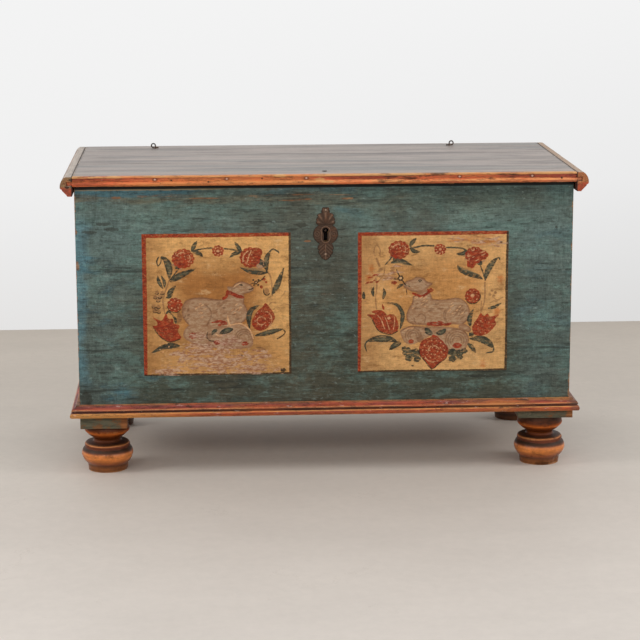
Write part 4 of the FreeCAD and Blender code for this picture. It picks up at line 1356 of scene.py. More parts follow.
def paint_left(c: LambPanel) -> None:
    """Paint the left panel.

    Args:
        c: the empty canvas.
    """
    c.border(2.9, 2.6)
    c.each(c.stroke, LEAF, (0.85, 33.5, 85.5, 40, 87, 47, 87.5),
           (0.85, 55.5, 87, 60, 86.4, 64, 85.5, 67, 85), (0.7, 79.5, 77.5, 82, 74, 84, 70.5),
           (0.6, 18, 65.5, 22, 70.3, 25.4, 74.8), tip=1)
    c.stroke(LEAF, 0.8, 85.3, 84.2, 88, 86.2, 91.3, 84.6, 92, 83.3, tail=0.4, tip=1)
    c.stroke(LEAF, 0.7, 87, 55.5, 90.2, 62.5, 95, 73, tip=0.8)
    c.each(c.stroke, PALE, (0.45, 70, 76, 71.6, 81, 73.4, 85.5), (0.4, 67.6, 77.5, 68, 81.5, 70.6, 85))
    c.each(c.stroke, SHADE, (0.6, 17.5, 65, 21.5, 70, 25.4, 75.4),
           (0.7, 84, 71, 86, 68, 87, 62.5, 87.4, 54.5), tip=1)
    c.leaf(GLINT, 1.8, 84, 71.4, 78.5, 72.3, 73, 72.9, 68, 73.8, fullest=0.5)
    c.leaf(LEAF, 2.9, 84.5, 70, 78.5, 70.2, 71, 71.4, 64.8, 74.9, fullest=0.4)
    c.disc(BODY, 79.2, 76.2, 3.2)
    c.each(c.disc, RED, (72.6, 80.8, 7.2, 1, 12, 0.1), (76.8, 84, 4, 0.9))
    c.disc(SHADE, 83.5, 57.5, 1.7, 1.3)
    c.arc(LINE, 0.5, 83.6, 57.6, 2.2, 150, 330, 1.3)
    c.each(c.shaded_leaf, (2.9, 33.2, 85.3, 35, 89, 37, 92.3), (2.9, 34, 85, 38, 84, 41, 81.6),
           (2.9, 66.8, 85, 64.5, 88, 62.3, 91.6), (2.9, 66.8, 84.5, 62.5, 83.6, 58.6, 80.8), glint=0.3)
    c.shaded_leaf(3.6, 81, 75.5, 78.8, 78.3, 76.5, 80, glint=0)
    c.shaded_leaf(3.6, 84, 70.5, 83.4, 76.5, 84.2, 81.5, 86.8, 85.7, glint=0.45)
    c.shaded_leaf(4, 87, 55, 90.8, 62, 95.2, 73.2, glint=0.55)
    c.carnation(27.5, 80.5, 7.8, 238, 0.88)
    c.floret(51, 85.5, 4.1)
    c.each(c.dots, PALE, (0.4, 72.4, 80.5, 4.6, 9, 60, 220), (0.36, 72.6, 80.6, 2.2, 6))
    # sprig at the lamb's mouth
    c.stroke(LINE, 0.5, 71.5, 62, 74, 63, 76.5, 63.6, 80, 65.2, 82.5, 68)
    c.each(c.disc, LINE, (76.3, 63.6, 1.5, 1, 5, 0.3), (78.2, 65.2, 0.9, 1, 5, 0.3),
           (74.6, 65.2, 0.8, 1, 5, 0.3), (77.9, 61.9, 0.9, 1, 5, 0.3), (75, 61.8, 0.7, 1, 5, 0.3))
    c.disc(PALE, 76.4, 63.7, 0.55)
    c.each(c.disc, RED, (81.7, 65.8, 1.2, 1, 5, 0.25), (80, 60.5, 1.3, 1, 5, 0.25),
           (83.2, 63.8, 0.8, 1, 5, 0.25))
    # left of the wreath
    c.stroke(LEAF, 0.7, 11.2, 82, 9.9, 78.8, 10.6, 75.4, tip=0.8)
    c.stroke(LEAF, 0.55, 10.6, 75.4, 12.6, 78, 12.9, 82)
    c.stroke(LINE, 0.55, 6.2, 34.6, 9, 30, 12.6, 26, 18, 23.4, 24.6, 25.2)
    c.stroke(SHADE, 0.7, 18, 65.5, 15.2, 58, 13.6, 52, 14.6, 43, tip=1)
    c.each(c.stroke, SHADE, (0.7, 9, 38, 12.4, 34, 15.4, 28), (0.7, 14.2, 38.6, 16.8, 33, 18.6, 27.4),
           (0.7, 19.6, 36, 20.4, 31.6, 21.4, 27.6))
    c.leaf(BODY, 1.7, 21, 20.7, 15, 19.8, 9, 18)
    c.leaf(GLINT, 1.6, 21, 66.9, 26.5, 69.6, 32, 71.8)
    c.leaf(LEAF, 4.4, 18.3, 64.6, 25.5, 69, 36.4, 73.7, fullest=0.42)
    c.each(c.leaf, LEAF, (1.6, 15, 42, 17.2, 44.6, 19.6, 42), (2, 22, 35.6, 21.6, 39, 19.4, 42.8))
    c.leaf(LEAF, 4.2, 24.8, 20.7, 15, 20.4, 4.6, 15.8, fullest=0.35)
    c.leaf(SHADE, 3.6, 23, 36.4, 24.6, 40, 23.6, 44.4)
    c.disc(GLINT, 21.6, 49.1, 1.2)
    c.each(c.disc, SHADE, (9.6, 57.6, 1.5, 1, 5, 0.3), (11.6, 54.8, 1.5, 1, 5, 0.3),
           (8.4, 54.6, 1.5, 1, 5, 0.3), (10.4, 52.4, 1.5, 1, 5, 0.3), (13.2, 57.4, 1.5, 1, 5, 0.3),
           (7.4, 48.2, 1.3, 1, 5, 0.3), (10.6, 47.8, 1.3, 1, 5, 0.3), (8, 45, 1.3, 1, 5, 0.3),
           (10.8, 44.4, 1.3, 1, 5, 0.3), (9.2, 46.6, 1.3, 1, 5, 0.3))
    c.blob(RED, 6.2, 41.2, 9.2, 39.2, 12.4, 38.4, 14.2, 40.8, 15.6, 43.2, 17, 39.6, 20, 39.4, 20.6, 36.2,
           24.4, 34.6, 23.2, 30.6, 25.6, 26.4, 22, 24.2, 17.4, 23.6, 12.4, 26.4, 9.2, 30.2, 6.2, 34.6, 8.8,
           34.8, 9.4, 36.8)
    c.each(c.arc, LINE, (0.4, 9.6, 57.6, 1.4, 200, 350), (0.4, 11.6, 54.8, 1.4, 200, 350),
           (0.4, 8.4, 54.6, 1.4, 200, 350), (0.4, 10.4, 52.4, 1.4, 200, 350),
           (0.4, 13.2, 57.4, 1.4, 200, 350), (0.4, 21.5, 49, 5.3, 190, 320), (0.4, 7.4, 48.2, 1.3, 180, 340),
           (0.4, 10.6, 47.8, 1.3, 180, 340), (0.4, 8, 45, 1.3, 180, 340), (0.4, 10.8, 44.4, 1.3, 180, 340),
           (0.4, 9.2, 46.6, 1.3, 180, 340))
    c.each(c.shaded_leaf, (4.8, 18, 66.5, 18.2, 73, 16.6, 78.5, 12.8, 82.6),
           (2.3, 14.8, 60.5, 14.6, 65, 12.6, 69.4), glint=0.5)
    c.shaded_leaf(2.6, 13.8, 60, 11, 65, 10.4, 69, glint=0.55)
    c.shaded_leaf(3.2, 16.4, 55, 19, 58.4, 22.4, 62.2, glint=0.4)
    c.shaded_leaf(2.2, 15.6, 54, 18.2, 54.8, 20.6, 57.4, glint=0.3)
    c.dots(PALE, 0.35, 27, 71.5, 2.2, 3, 60, 150)
    c.floret(21.5, 49, 5.3, False)
    c.dots(PALE, 0.5, 14, 19.7, 3.2, 7, 10, 340)
    # lamb
    c.each(c.stroke, LINE, (0.45, 64.8, 61.9, 66, 62.5, 67.2, 61.8), (0.5, 71, 58.6, 72.8, 58.9, 74, 59.6))
    c.each(c.stroke, PALE, (0.5, 60.8, 60.2, 63.4, 62.2, 66, 63.3), (1, 57, 41, 57.4, 37.6, 58.6, 34))
    c.stroke(RED, 2.2, 57.4, 57.4, 60.5, 56, 64, 54.4, 67.6, 53.6, tail=0.6, tip=0.6)
    c.stroke(RED, 1.6, 57.2, 58, 56.4, 54.6, 54.2, 52.8, tip=0.8)
    c.stroke(RED, 1.5, 47.5, 36.4, 52, 37.2, 56.4, 36.2, tail=0.4)
    c.each(c.stroke, SHADE,
           (0.8, 26.4, 47, 29, 51.4, 33.5, 53.1, 41, 53.4, 47.5, 52.3, 54, 52.2, 57.3, 54.8),
           (0.6, 26.6, 47, 26.3, 42.8, 27.6, 39, 30.4, 35.6),
           (0.7, 41.5, 49, 44.5, 46.5, 46, 43, 45.4, 39.5, 43, 34.6),
           (0.6, 68.2, 53, 68, 49.5, 70, 45.5, 70.6, 42, 69.2, 38.6, 66, 36), tip=0.8)
    c.each(c.stroke, SHADE, (0.55, 57.4, 60.9, 60.4, 60.6, 63, 63.2, 67, 64.2, 71.4, 62.6, 74.6, 60.1),
           (0.55, 74.6, 60, 73.6, 57.8, 67.6, 55.8), (0.55, 57.2, 60.8, 60.5, 59.4, 64.6, 61.6), tip=0.7)
    c.disc(LINE, 66.2, 61.8, 0.45)
    c.each(c.blob, BODY, (26.3, 43, 26.8, 47.6, 29, 51.4, 33.5, 53.1, 41, 53.4, 47.5, 52.3, 54, 52.2, 57.3,
            54.6, 57.4, 57, 62, 57.4, 67.6, 56, 68.2, 53, 68, 49.5, 70, 45.5, 70.6, 42, 69.2, 38.6, 66.8,
            36.2, 60.5, 34.4, 56.5, 33.2, 47.5, 32.8, 43, 34.5, 35.5, 32.2, 30.2, 35.4, 27.4, 39.5), (56.8,
            60.9, 60.4, 60.8, 63, 63.2, 67, 64.2, 71.4, 62.6, 74.6, 60.1, 73.6, 57.8, 67.6, 55.8, 62, 55.2,
            59, 57))
    c.each(c.hatch, SHADE, (0.8, 50, 46, 57, 52, 10, 1.4, 3, 0.5), (0.9, 27.2, 38, 31, 48, 9, 0.9, 2.2, 0.8),
           (0.7, 46, 37, 64, 46, 12, 1.6, 3.6, 0.3))
    c.each(c.hatch, PALE, (0.5, 33, 40, 42, 50, 9, 1.2, 2.6, 0.5), (0.5, 60, 41, 68, 50, 8, 1.2, 2.4, 0.7))
    c.hatch(RED, 0.9, 46.5, 34, 55.5, 37, 7, 1.8, 3.4, 0.1)
    # mound
    c.stroke(PALE, 0.75, 57, 34, 63.5, 35.4, 67.5, 34.7, 72, 30.6, 74.2, 25, tip=0.8)
    c.stroke(PALE, 0.8, 48.6, 28.6, 51, 27.2, 53, 27.6)
    c.each(c.disc, RED, (68.4, 21.6, 2.6, 0.6, 6, 0.2), (49.6, 22.6, 2.8, 0.6, 7, 0.2),
           (54.4, 21.6, 2.4, 0.5, 6, 0.2), (33.4, 27.6, 3, 0.8, 7, 0.3))
    c.disc(SHADE, 44, 27, 2.6, 0.9, 6, 0.25)
    c.blob(BODY, 30, 34, 40, 34.5, 52, 33, 62, 35, 68, 34.5, 72.4, 30.4, 74, 24, 72, 19, 60, 18, 44, 19.5,
           34, 22, 27, 27)
    c.arc(LINE, 0.5, 47, 27.6, 4.2, 150, 280)
    c.each(c.arc, SHADE, (0.6, 68, 25.2, 6.2, -20, 170), (0.6, 68, 25.2, 4.8, -20, 185),
           (0.6, 68, 25.2, 3.4, -20, 200))
    c.shaded_leaf(4, 60.6, 31.8, 56, 30.6, 51.2, 28.8, glint=0.45)
    c.shaded_leaf(2.6, 50, 31.4, 47.6, 30.2, 46, 27.6, glint=0.3)
    c.hatch(SHADE, 0.6, 42, 18, 72, 24, 14, 2, 5, -0.1)
    # bud at the right
    c.stroke(LINE, 0.6, 93.8, 31.4, 95.8, 29.4, 94.4, 27, 90.6, 24.6)
    c.each(c.stroke, SHADE, (0.5, 84.6, 47.6, 86.6, 49.6, 90, 49.4), (0.5, 87.6, 44.6, 90, 46.4, 92, 46),
           (0.5, 83.4, 49.6, 84, 52.4, 86.4, 54), (0.5, 92.5, 53, 94.6, 54.8, 96, 57.4),
           (0.5, 93, 47.4, 95.4, 48.6, 98, 48))
    c.each(c.leaf, GLINT, (1.3, 72, 36, 72, 41, 74.4, 45.6), (1.7, 78, 27.7, 85, 29.5, 91.6, 31))
    c.leaf(LEAF, 3.8, 71.9, 31.4, 71.2, 38.5, 73, 44.6, 79, 48.2, fullest=0.5)
    c.leaf(LEAF, 3.6, 74.6, 26.7, 84, 28.8, 94.6, 31.4, fullest=0.55)
    c.leaf(SHADE, 2.4, 76, 18.8, 79.6, 17.8, 83, 17.2)
    c.disc(GLINT, 79.6, 37, 1.9, 0.8)
    c.each(c.disc, LINE, (66.4, 13.4, 0.9, 0.6), (94.4, 2.8, 2.2, 0.7, 5, 0.3))
    c.blob(RED, 82.6, 49.4, 85.4, 46.4, 88.8, 41, 88, 36.8, 84.6, 32.8, 79.6, 30.2, 75.4, 31.6, 73.4, 35,
           74.2, 39.2, 77.8, 44.6, 80.6, 46.6)
    c.each(c.arc, PALE, (0.4, 79.8, 37.2, 3, 20, 330, 0.9), (0.35, 80.4, 38, 6.4, -50, 60, 1))
    c.dots(PALE, 0.34, 80.6, 38.6, 5.2, 11, 0, 360)
    # the rubbed foot of the panel
    for u in np.linspace(24, 80, 22):
        c.leaf(RUB, 2.6, u - 9, c.rng.uniform(1.5, 21), u, c.rng.uniform(2, 20),
               u + 9, c.rng.uniform(1.5, 21))
    c.each(c.haze, RUB, (50, 9, 38, 15), (74, 4, 28, 9), (18, 3, 22, 7), (40, 18, 22, 11), (58, 23, 20, 8),
           (36, 27, 12, 7))


def paint_right(c: LambPanel) -> None:
    """Paint the right panel.

    Args:
        c: the empty canvas.
    """
    c.border(2.5, 2.4)
    c.each(c.stroke, LEAF, (0.7, 18.4, 73, 21, 76, 23.6, 79),
           (0.85, 34.5, 83.5, 38.5, 84.2, 43.5, 85.2, 50, 85),
           (0.8, 58.6, 83.8, 65.5, 83.6, 70, 82.7, 72.4, 81.5), (0.75, 80.6, 73, 82.6, 68.4, 84.4, 62.6),
           tip=1)
    c.stroke(LEAF, 0.7, 92, 76, 93.8, 76.4, 94.4, 74.8, tail=0.5, tip=1)
    c.stroke(SHADE, 0.8, 84.6, 60, 84.7, 54, 84.4, 47.5, 82.4, 40.5, tip=1)
    c.each(c.leaf, GLINT, (1.8, 22.8, 73.2, 26.5, 74.4, 30.5, 73.4, 35, 71.8),
           (1.8, 81, 64.6, 75.4, 67, 70, 69.2, 67.4, 71))
    c.each(c.leaf, LEAF, (3.4, 21.6, 73.6, 26.5, 75.6, 30.5, 74.6, 37, 71.6),
           (3.6, 83.4, 62, 79.4, 64.2, 73.6, 66, 68, 68.6, 66.2, 72), fullest=0.4)
    c.each(c.disc, RED, (77.4, 78.4, 6.4, 0.92, 11, 0.12), (75.4, 73.2, 3.4, 1.1, 5, 0.2),
           (83.2, 78.4, 3.6, 0.9, 5, 0.2))
    c.each(c.disc, SHADE, (89.4, 54.6, 1.1, 1, 5, 0.3), (91.6, 53, 1.1, 1, 5, 0.3),
           (90.6, 50.8, 1.1, 1, 5, 0.3), (88, 51.8, 1.1, 1, 5, 0.3))
    c.each(c.shaded_leaf, (2.8, 34.3, 84.3, 36, 87.5, 38.8, 90.4), (2.8, 34.5, 83.2, 37.5, 81.6, 41.2, 81),
           (2.8, 72.4, 81.6, 69.5, 79.6, 65.2, 79.4), glint=0.35)
    c.shaded_leaf(3.4, 82.4, 72, 80.4, 73.6, 78, 75.8, glint=0)
    c.shaded_leaf(4, 84.6, 61, 86.2, 67.6, 89.6, 73.2, 92.8, 76.6, glint=0.5)
    c.carnation(27.2, 82.6, 7.2, 246, 0.88)
    c.floret(54.5, 82.6, 4)
    c.dots(PALE, 0.34, 77.2, 78.8, 4.2, 9, 20, 220)
    c.hatch(BODY, 0.7, 72, 73, 85, 82, 12, 2.4, 5, 0.5)
    c.hatch(PALE, 0.45, 73, 75, 84, 82, 9, 1.2, 3, 0.4)
    # ring flower
    c.stroke(STAIN, 2.2, 60, 87.6, 70, 89.2, 80, 86.4, 88, 87.4, 96, 88, tail=0.4, tip=0.4)
    c.stroke(STAIN, 1.4, 66, 91, 78, 90.2, 90, 91.4)
    c.disc(GLINT, 76.5, 51, 2.3)
    c.disc(PALE, 76.4, 51.2, 1.3)
    c.disc(RED, 76.5, 51, 5.3, 0.98, 10, 0.08)
    c.each(c.disc, STAIN, (7, 64, 2.4, 1.5, 5, 0.3), (9, 70, 2.4, 1.5, 5, 0.3), (95, 62, 2.4, 1.5, 5, 0.3),
           (93, 40, 2.4, 1.5, 5, 0.3), (84, 5, 2.4, 1.5, 5, 0.3))
    c.arc(LINE, 0.45, 76.5, 51, 5.3, 200, 380)
    c.dots(PALE, 0.36, 76.5, 51, 3.7, 9)
    # faded sprays at the left
    c.each(c.stroke, SHADE, (0.5, 11, 78.5, 10.6, 82, 12.4, 86, 14.6, 83, 14.6, 79),
           (0.5, 18, 72, 17, 66, 14, 62))
    c.stroke(SHADE, 1.2, 12.4, 77, 13.4, 74, 14.4, 72, tip=0.6)
    c.stroke(SHADE, 0.6, 12, 64, 12.6, 58, 11.8, 50, 12.4, 43, tip=1)
    c.each(c.shaded_leaf, (2.3, 4.4, 49.6, 3.8, 52, 4, 55), (2.3, 10.4, 51.4, 9.8, 54.6, 10.6, 58),
           (2.3, 16.4, 49.2, 17.7, 53.2, 17, 57.6), glint=0.35)
    c.hatch(SHADE, 0.9, 13, 63, 25, 71, 16, 1.6, 4, 0.2)
    c.hatch(RED, 0.8, 5, 60, 13, 67, 9, 1.4, 3.2, 0.3)
    # sprig at the mouth
    c.stroke(LINE, 0.6, 25.6, 69.4, 26.8, 66.6, 29.6, 62, 31.6, 59, tip=0.6)
    c.stroke(LINE, 0.5, 22.4, 63.4, 25.4, 63, 28.2, 62.6)
    c.disc(LINE, 28.4, 63.6, 2.2, 1, 6, 0.35)
    c.disc(PALE, 28.4, 63.6, 0.9)
    c.disc(RED, 24, 60.6, 2, 0.7, 5, 0.2)
    c.shaded_leaf(2, 30.2, 59.6, 28, 58.4, 25.8, 56.6, glint=0)
    # lamb
    c.each(c.stroke, LINE, (0.4, 31, 58.2, 33, 58.4, 34.6, 57.8), (0.35, 32, 57, 32.6, 52.5))
    c.stroke(RED, 1.5, 36.8, 53.2, 42, 51.2, 46, 53, 48.7, 56, tail=0.8, tip=0.8)
    c.each(c.stroke, RED, (1.3, 46.2, 56, 48, 54.6, 49.6, 55.2), (1, 46, 32.4, 53, 31.4, 62, 32.6))
    c.each(c.stroke, SHADE,
           (0.6, 30.4, 58.6, 32, 61, 36, 62.6, 39.5, 64.1, 43.6, 63.1, 46, 60.8, 49.6, 59.8),
           (0.6, 49.6, 59.8, 47.4, 58, 45, 59), (0.6, 30.4, 58.4, 31.8, 56.8, 36, 54.8, 40.4, 53.8),
           (0.6, 36.9, 51, 36.2, 46.5, 33.8, 42.5, 32.6, 38.4, 33.2, 34.6, 37, 32.4), (0.6, 48.4, 52.6, 49.4,
            49.4, 53, 48.6, 58.5, 48.7, 64, 49.6, 68, 49.2, 71.5, 47, 73.7, 43.6, 74.7, 39.5, 73.5, 35.5, 70,
            32.2), (0.6, 61.5, 43.5, 58, 41, 57.3, 37.5, 58.4, 34.5, 61, 32),
           (0.6, 39.6, 37.6, 42.4, 39.2, 45, 37.2, 44.6, 33.6), (0.6, 37.4, 36.6, 38.4, 33.6, 41.6, 32.6),
           tip=0.7)
    c.stroke(SHADE, 0.5, 71.5, 31.8, 75.2, 28.8, 74.4, 26.6, 70, 28)
    c.disc(LINE, 41.3, 61.1, 0.6)
    c.each(c.blob, BODY, (36.9, 51, 36.2, 46.5, 33.8, 42.5, 32.6, 38.4, 33.2, 34.6, 37, 32.4, 45.5, 31.4, 53,
            30.6, 62.5, 31.8, 70, 32, 73.5, 35.5, 74.7, 39.5, 73.7, 43.6, 71.5, 47, 68, 49.2, 64, 49.6, 58.5,
            48.7, 53, 48.6, 49.4, 49.4, 48.4, 52.6, 46, 55.4, 40.5, 53.6), (30.4, 58.6, 32, 61, 36, 62.6,
            39.5, 64.1, 43.6, 63.1, 46, 60.8, 49.4, 59.6, 47.2, 57.4, 44.8, 55.4, 40.5, 53.8, 36, 54.8, 31.8,
            56.8), (68, 31.4, 71.5, 31.8, 75.2, 28.8, 74.4, 26.6, 70, 28, 67.4, 29.6))
    c.arc(LINE, 0.4, 41.3, 61, 1.3, 10, 170)
    c.arc(SHADE, 0.5, 65.2, 37.6, 6.9, 100, 250)
    c.each(c.hatch, SHADE, (0.8, 63, 36, 72, 44, 12, 1.4, 3.4, 0.9), (0.7, 38, 40, 56, 47, 16, 1.6, 4, 0.2))
    c.each(c.hatch, PALE, (0.5, 36, 42, 47, 51, 9, 1.2, 3, 0.6), (0.5, 60, 36, 71, 47, 9, 1.4, 3, 0.7))
    c.hatch(RED, 0.9, 46, 31.4, 63, 34.4, 9, 2.4, 5, -0.02)
    # mound
    c.stroke(PALE, 0.6, 30, 27.4, 33.4, 29.2, 37, 29.8)
    c.stroke(SHADE, 0.6, 28.4, 27.4, 32.5, 30, 36, 30.7, 42, 30.2, tip=0.8)
    c.each(c.disc, RED, (66.5, 17.4, 3.1, 0.62), (35.6, 20.6, 1.8, 0.8))
    c.disc(SHADE, 41.6, 22.6, 2.4, 1.2)
    c.blob(BODY, 28.2, 27.4, 32.5, 30.2, 36, 31, 46, 30.6, 60, 30, 70, 28, 74, 22, 72, 15, 66, 13, 56, 17,
           50, 24, 44, 22, 38, 19, 32, 19.6)
    c.each(c.arc, SHADE, (0.65, 37, 24.4, 5.2, -30, 215), (0.65, 37, 24.4, 3.6, -30, 215),
           (0.65, 37, 24.4, 2.2, -30, 215), (0.65, 66.4, 20.6, 7.8, -30, 215),
           (0.65, 66.4, 20.6, 6.2, -30, 215), (0.65, 66.4, 20.6, 4.6, -30, 215),
           (0.65, 66.4, 20.6, 3, -30, 215))
    c.each(c.shaded_leaf, (4, 45, 29.6, 47.2, 27, 50, 25.6), (3.6, 59, 28.6, 55.6, 26.4, 52.2, 26),
           glint=0.4)
    c.hatch(SHADE, 0.6, 40, 24, 64, 30, 14, 2, 4.4, 0.1)
    # tulip at the left
    c.stroke(LEAF, 0.8, 6.4, 21.4, 4.8, 18.6, 6, 13.8, tail=0.4, tip=0.8)
    c.stroke(LINE, 0.5, 6.4, 39, 9.2, 36.4, 12.6, 29.8, 16.4, 26.8, 22, 25.6, 26.4, 27.6)
    c.each(c.stroke, PALE, (0.35, 11.9, 40, 15.3, 36, 17.9, 29.6),
           (0.35, 17.3, 38.6, 19.3, 34.6, 21.1, 28.6), (0.35, 24.3, 37.6, 24.5, 33.4, 23.7, 29))
    c.each(c.stroke, SHADE, (0.65, 11, 40, 14.4, 36, 17, 29.6), (0.65, 16.4, 38.6, 18.4, 34.6, 20.2, 28.6),
           (0.65, 23.4, 37.6, 23.6, 33.4, 22.8, 29))
    c.leaf(GLINT, 2, 22, 22, 16, 22.6, 9, 22)
    c.leaf(LEAF, 4.8, 26.4, 20.8, 20, 22.6, 12, 22.6, 5.4, 21, fullest=0.45)
    c.leaf(RED, 1.4, 17.2, 42.4, 16.9, 44, 16.3, 46.2)
    c.each(c.disc, LEAF, (33, 13.6, 3.6, 0.9, 5, 0.2), (38.4, 12.4, 3.9, 0.9, 5, 0.2),
           (34.2, 9.4, 2.8, 0.9, 5, 0.2), (39.6, 8.6, 2.6, 0.9, 5, 0.2), (31, 15.6, 2, 0.9, 5, 0.2))
    c.disc(LINE, 36.8, 4, 0.8, 0.6)
    c.disc(PALE, 20.7, 36.7, 1.2, 0.8)
    c.blob(RED, 6.2, 39.4, 9.2, 36.8, 11, 33.4, 12.6, 30, 16.4, 27.2, 21.5, 25.8, 25.6, 27, 27.2, 30.5, 26.7,
           34.2, 24.6, 38.4, 21.4, 39.4, 19.4, 38.6, 17.6, 41, 14, 42.4, 9, 41.2, 12.2, 39.2)
    c.each(c.arc, GLINT, (0.8, 33.6, 13, 1.8, 30, 250), (0.8, 38.8, 11.6, 1.8, 30, 250),
           (0.8, 35, 9.6, 1.8, 30, 250))
    c.shaded_leaf(2.9, 28, 28.6, 29.4, 34, 29.6, 40, 26, 45.6, 19, 47.2, glint=0.3)
    c.shaded_leaf(4, 29, 19.6, 25, 18.4, 21, 14.8, glint=0.35)
    # rose at the foot
    c.stroke(LEAF, 0.8, 91, 15.6, 90.6, 13, 85.8, 11.8, tail=0.4, tip=0.8)
    c.stroke(LINE, 0.45, 60.4, 13, 59, 8.8, 54.6, 5.4, 49.6, 1.7, 45.2, 6.8, 41.8, 11, 41, 15.6)
    c.leaf(GLINT, 2.2, 78, 21.6, 83.4, 20.6, 88.4, 17.4)
    c.leaf(LEAF, 5, 74.4, 21.8, 81.5, 21.8, 87.4, 19, 91.4, 14.8, fullest=0.5)
    c.each(c.disc, LEAF, (63, 13, 3.2, 0.8, 5, 0.2), (67.4, 12, 3.4, 0.8, 5, 0.2),
           (63.4, 8.4, 2.9, 0.8, 5, 0.2), (71.2, 13.6, 2.4, 0.8, 5, 0.2), (68.6, 9.4, 2.2, 0.8, 5, 0.2))
    c.blob(RED, 41, 16, 43, 21, 48.6, 23.4, 50.5, 25, 54.5, 22.8, 59.2, 17.6, 60.6, 14, 59.2, 9, 54.8, 5.6,
           49.6, 1.8, 45.3, 7, 42, 11)
    c.each(c.arc, GLINT, (0.8, 63.4, 12.4, 1.7, 200, 400), (0.8, 67.6, 11.4, 1.7, 200, 400))
    c.each(c.arc, PALE, (0.4, 50.8, 13.6, 3.8, 20, 200), (0.35, 50.6, 12.6, 6.2, 200, 300))
    c.shaded_leaf(3, 73.4, 18.8, 76.5, 15.8, 79.2, 12, glint=0.35)
    c.each(c.dots, PALE, (0.42, 50.8, 13.8, 7.4, 15, 148), (0.42, 50.8, 13.8, 5, 10, 100),
           (0.42, 50.8, 13.8, 2.6, 6, 52))
    # tulip at the right
    c.each(c.stroke, SHADE, (0.65, 82, 36.6, 82, 31, 82.4, 26.4), (0.65, 87, 35.4, 86.4, 31, 85.4, 27),
           (0.5, 90, 50, 93, 48, 96.4, 49.6), (0.5, 88, 46, 90.6, 47.4, 93, 46.6))
    c.stroke(SHADE, 0.5, 82.4, 47, 82.2, 43, 82, 39.5, tip=1)
    c.disc(LEAF, 76, 24.8, 2, 0.9, 5, 0.2)
    c.disc(LINE, 95, 87, 1, 0.6)
    c.blob(RED, 78.4, 24.4, 76.4, 29, 78, 33, 80.4, 36.6, 82, 39.2, 84.2, 37.4, 86.8, 39, 88.4, 36.8, 94, 38,
           91.6, 34.8, 92.4, 31.4, 88.6, 26.8, 84.6, 24.2)
    c.shaded_leaf(3.4, 75.2, 30, 74.6, 35.6, 77.2, 42.2, glint=0.4)
    c.shaded_leaf(2.4, 86.6, 42.4, 91, 43.2, 96, 46, glint=0.35)
    c.dots(PALE, 0.32, 84.4, 30, 4.4, 9)
    # small rubbed places
    for low, high, count in (((62, 86), (96, 90), 12), ((14, 62), (26, 72), 8), ((86, 84), (98, 90), 8)):
        for _ in range(count):
            u, v = c.rng.uniform(low, high)
            c.leaf(RUB, 1.4, u - 4, v, u, v + 0.3, u + 4, v)


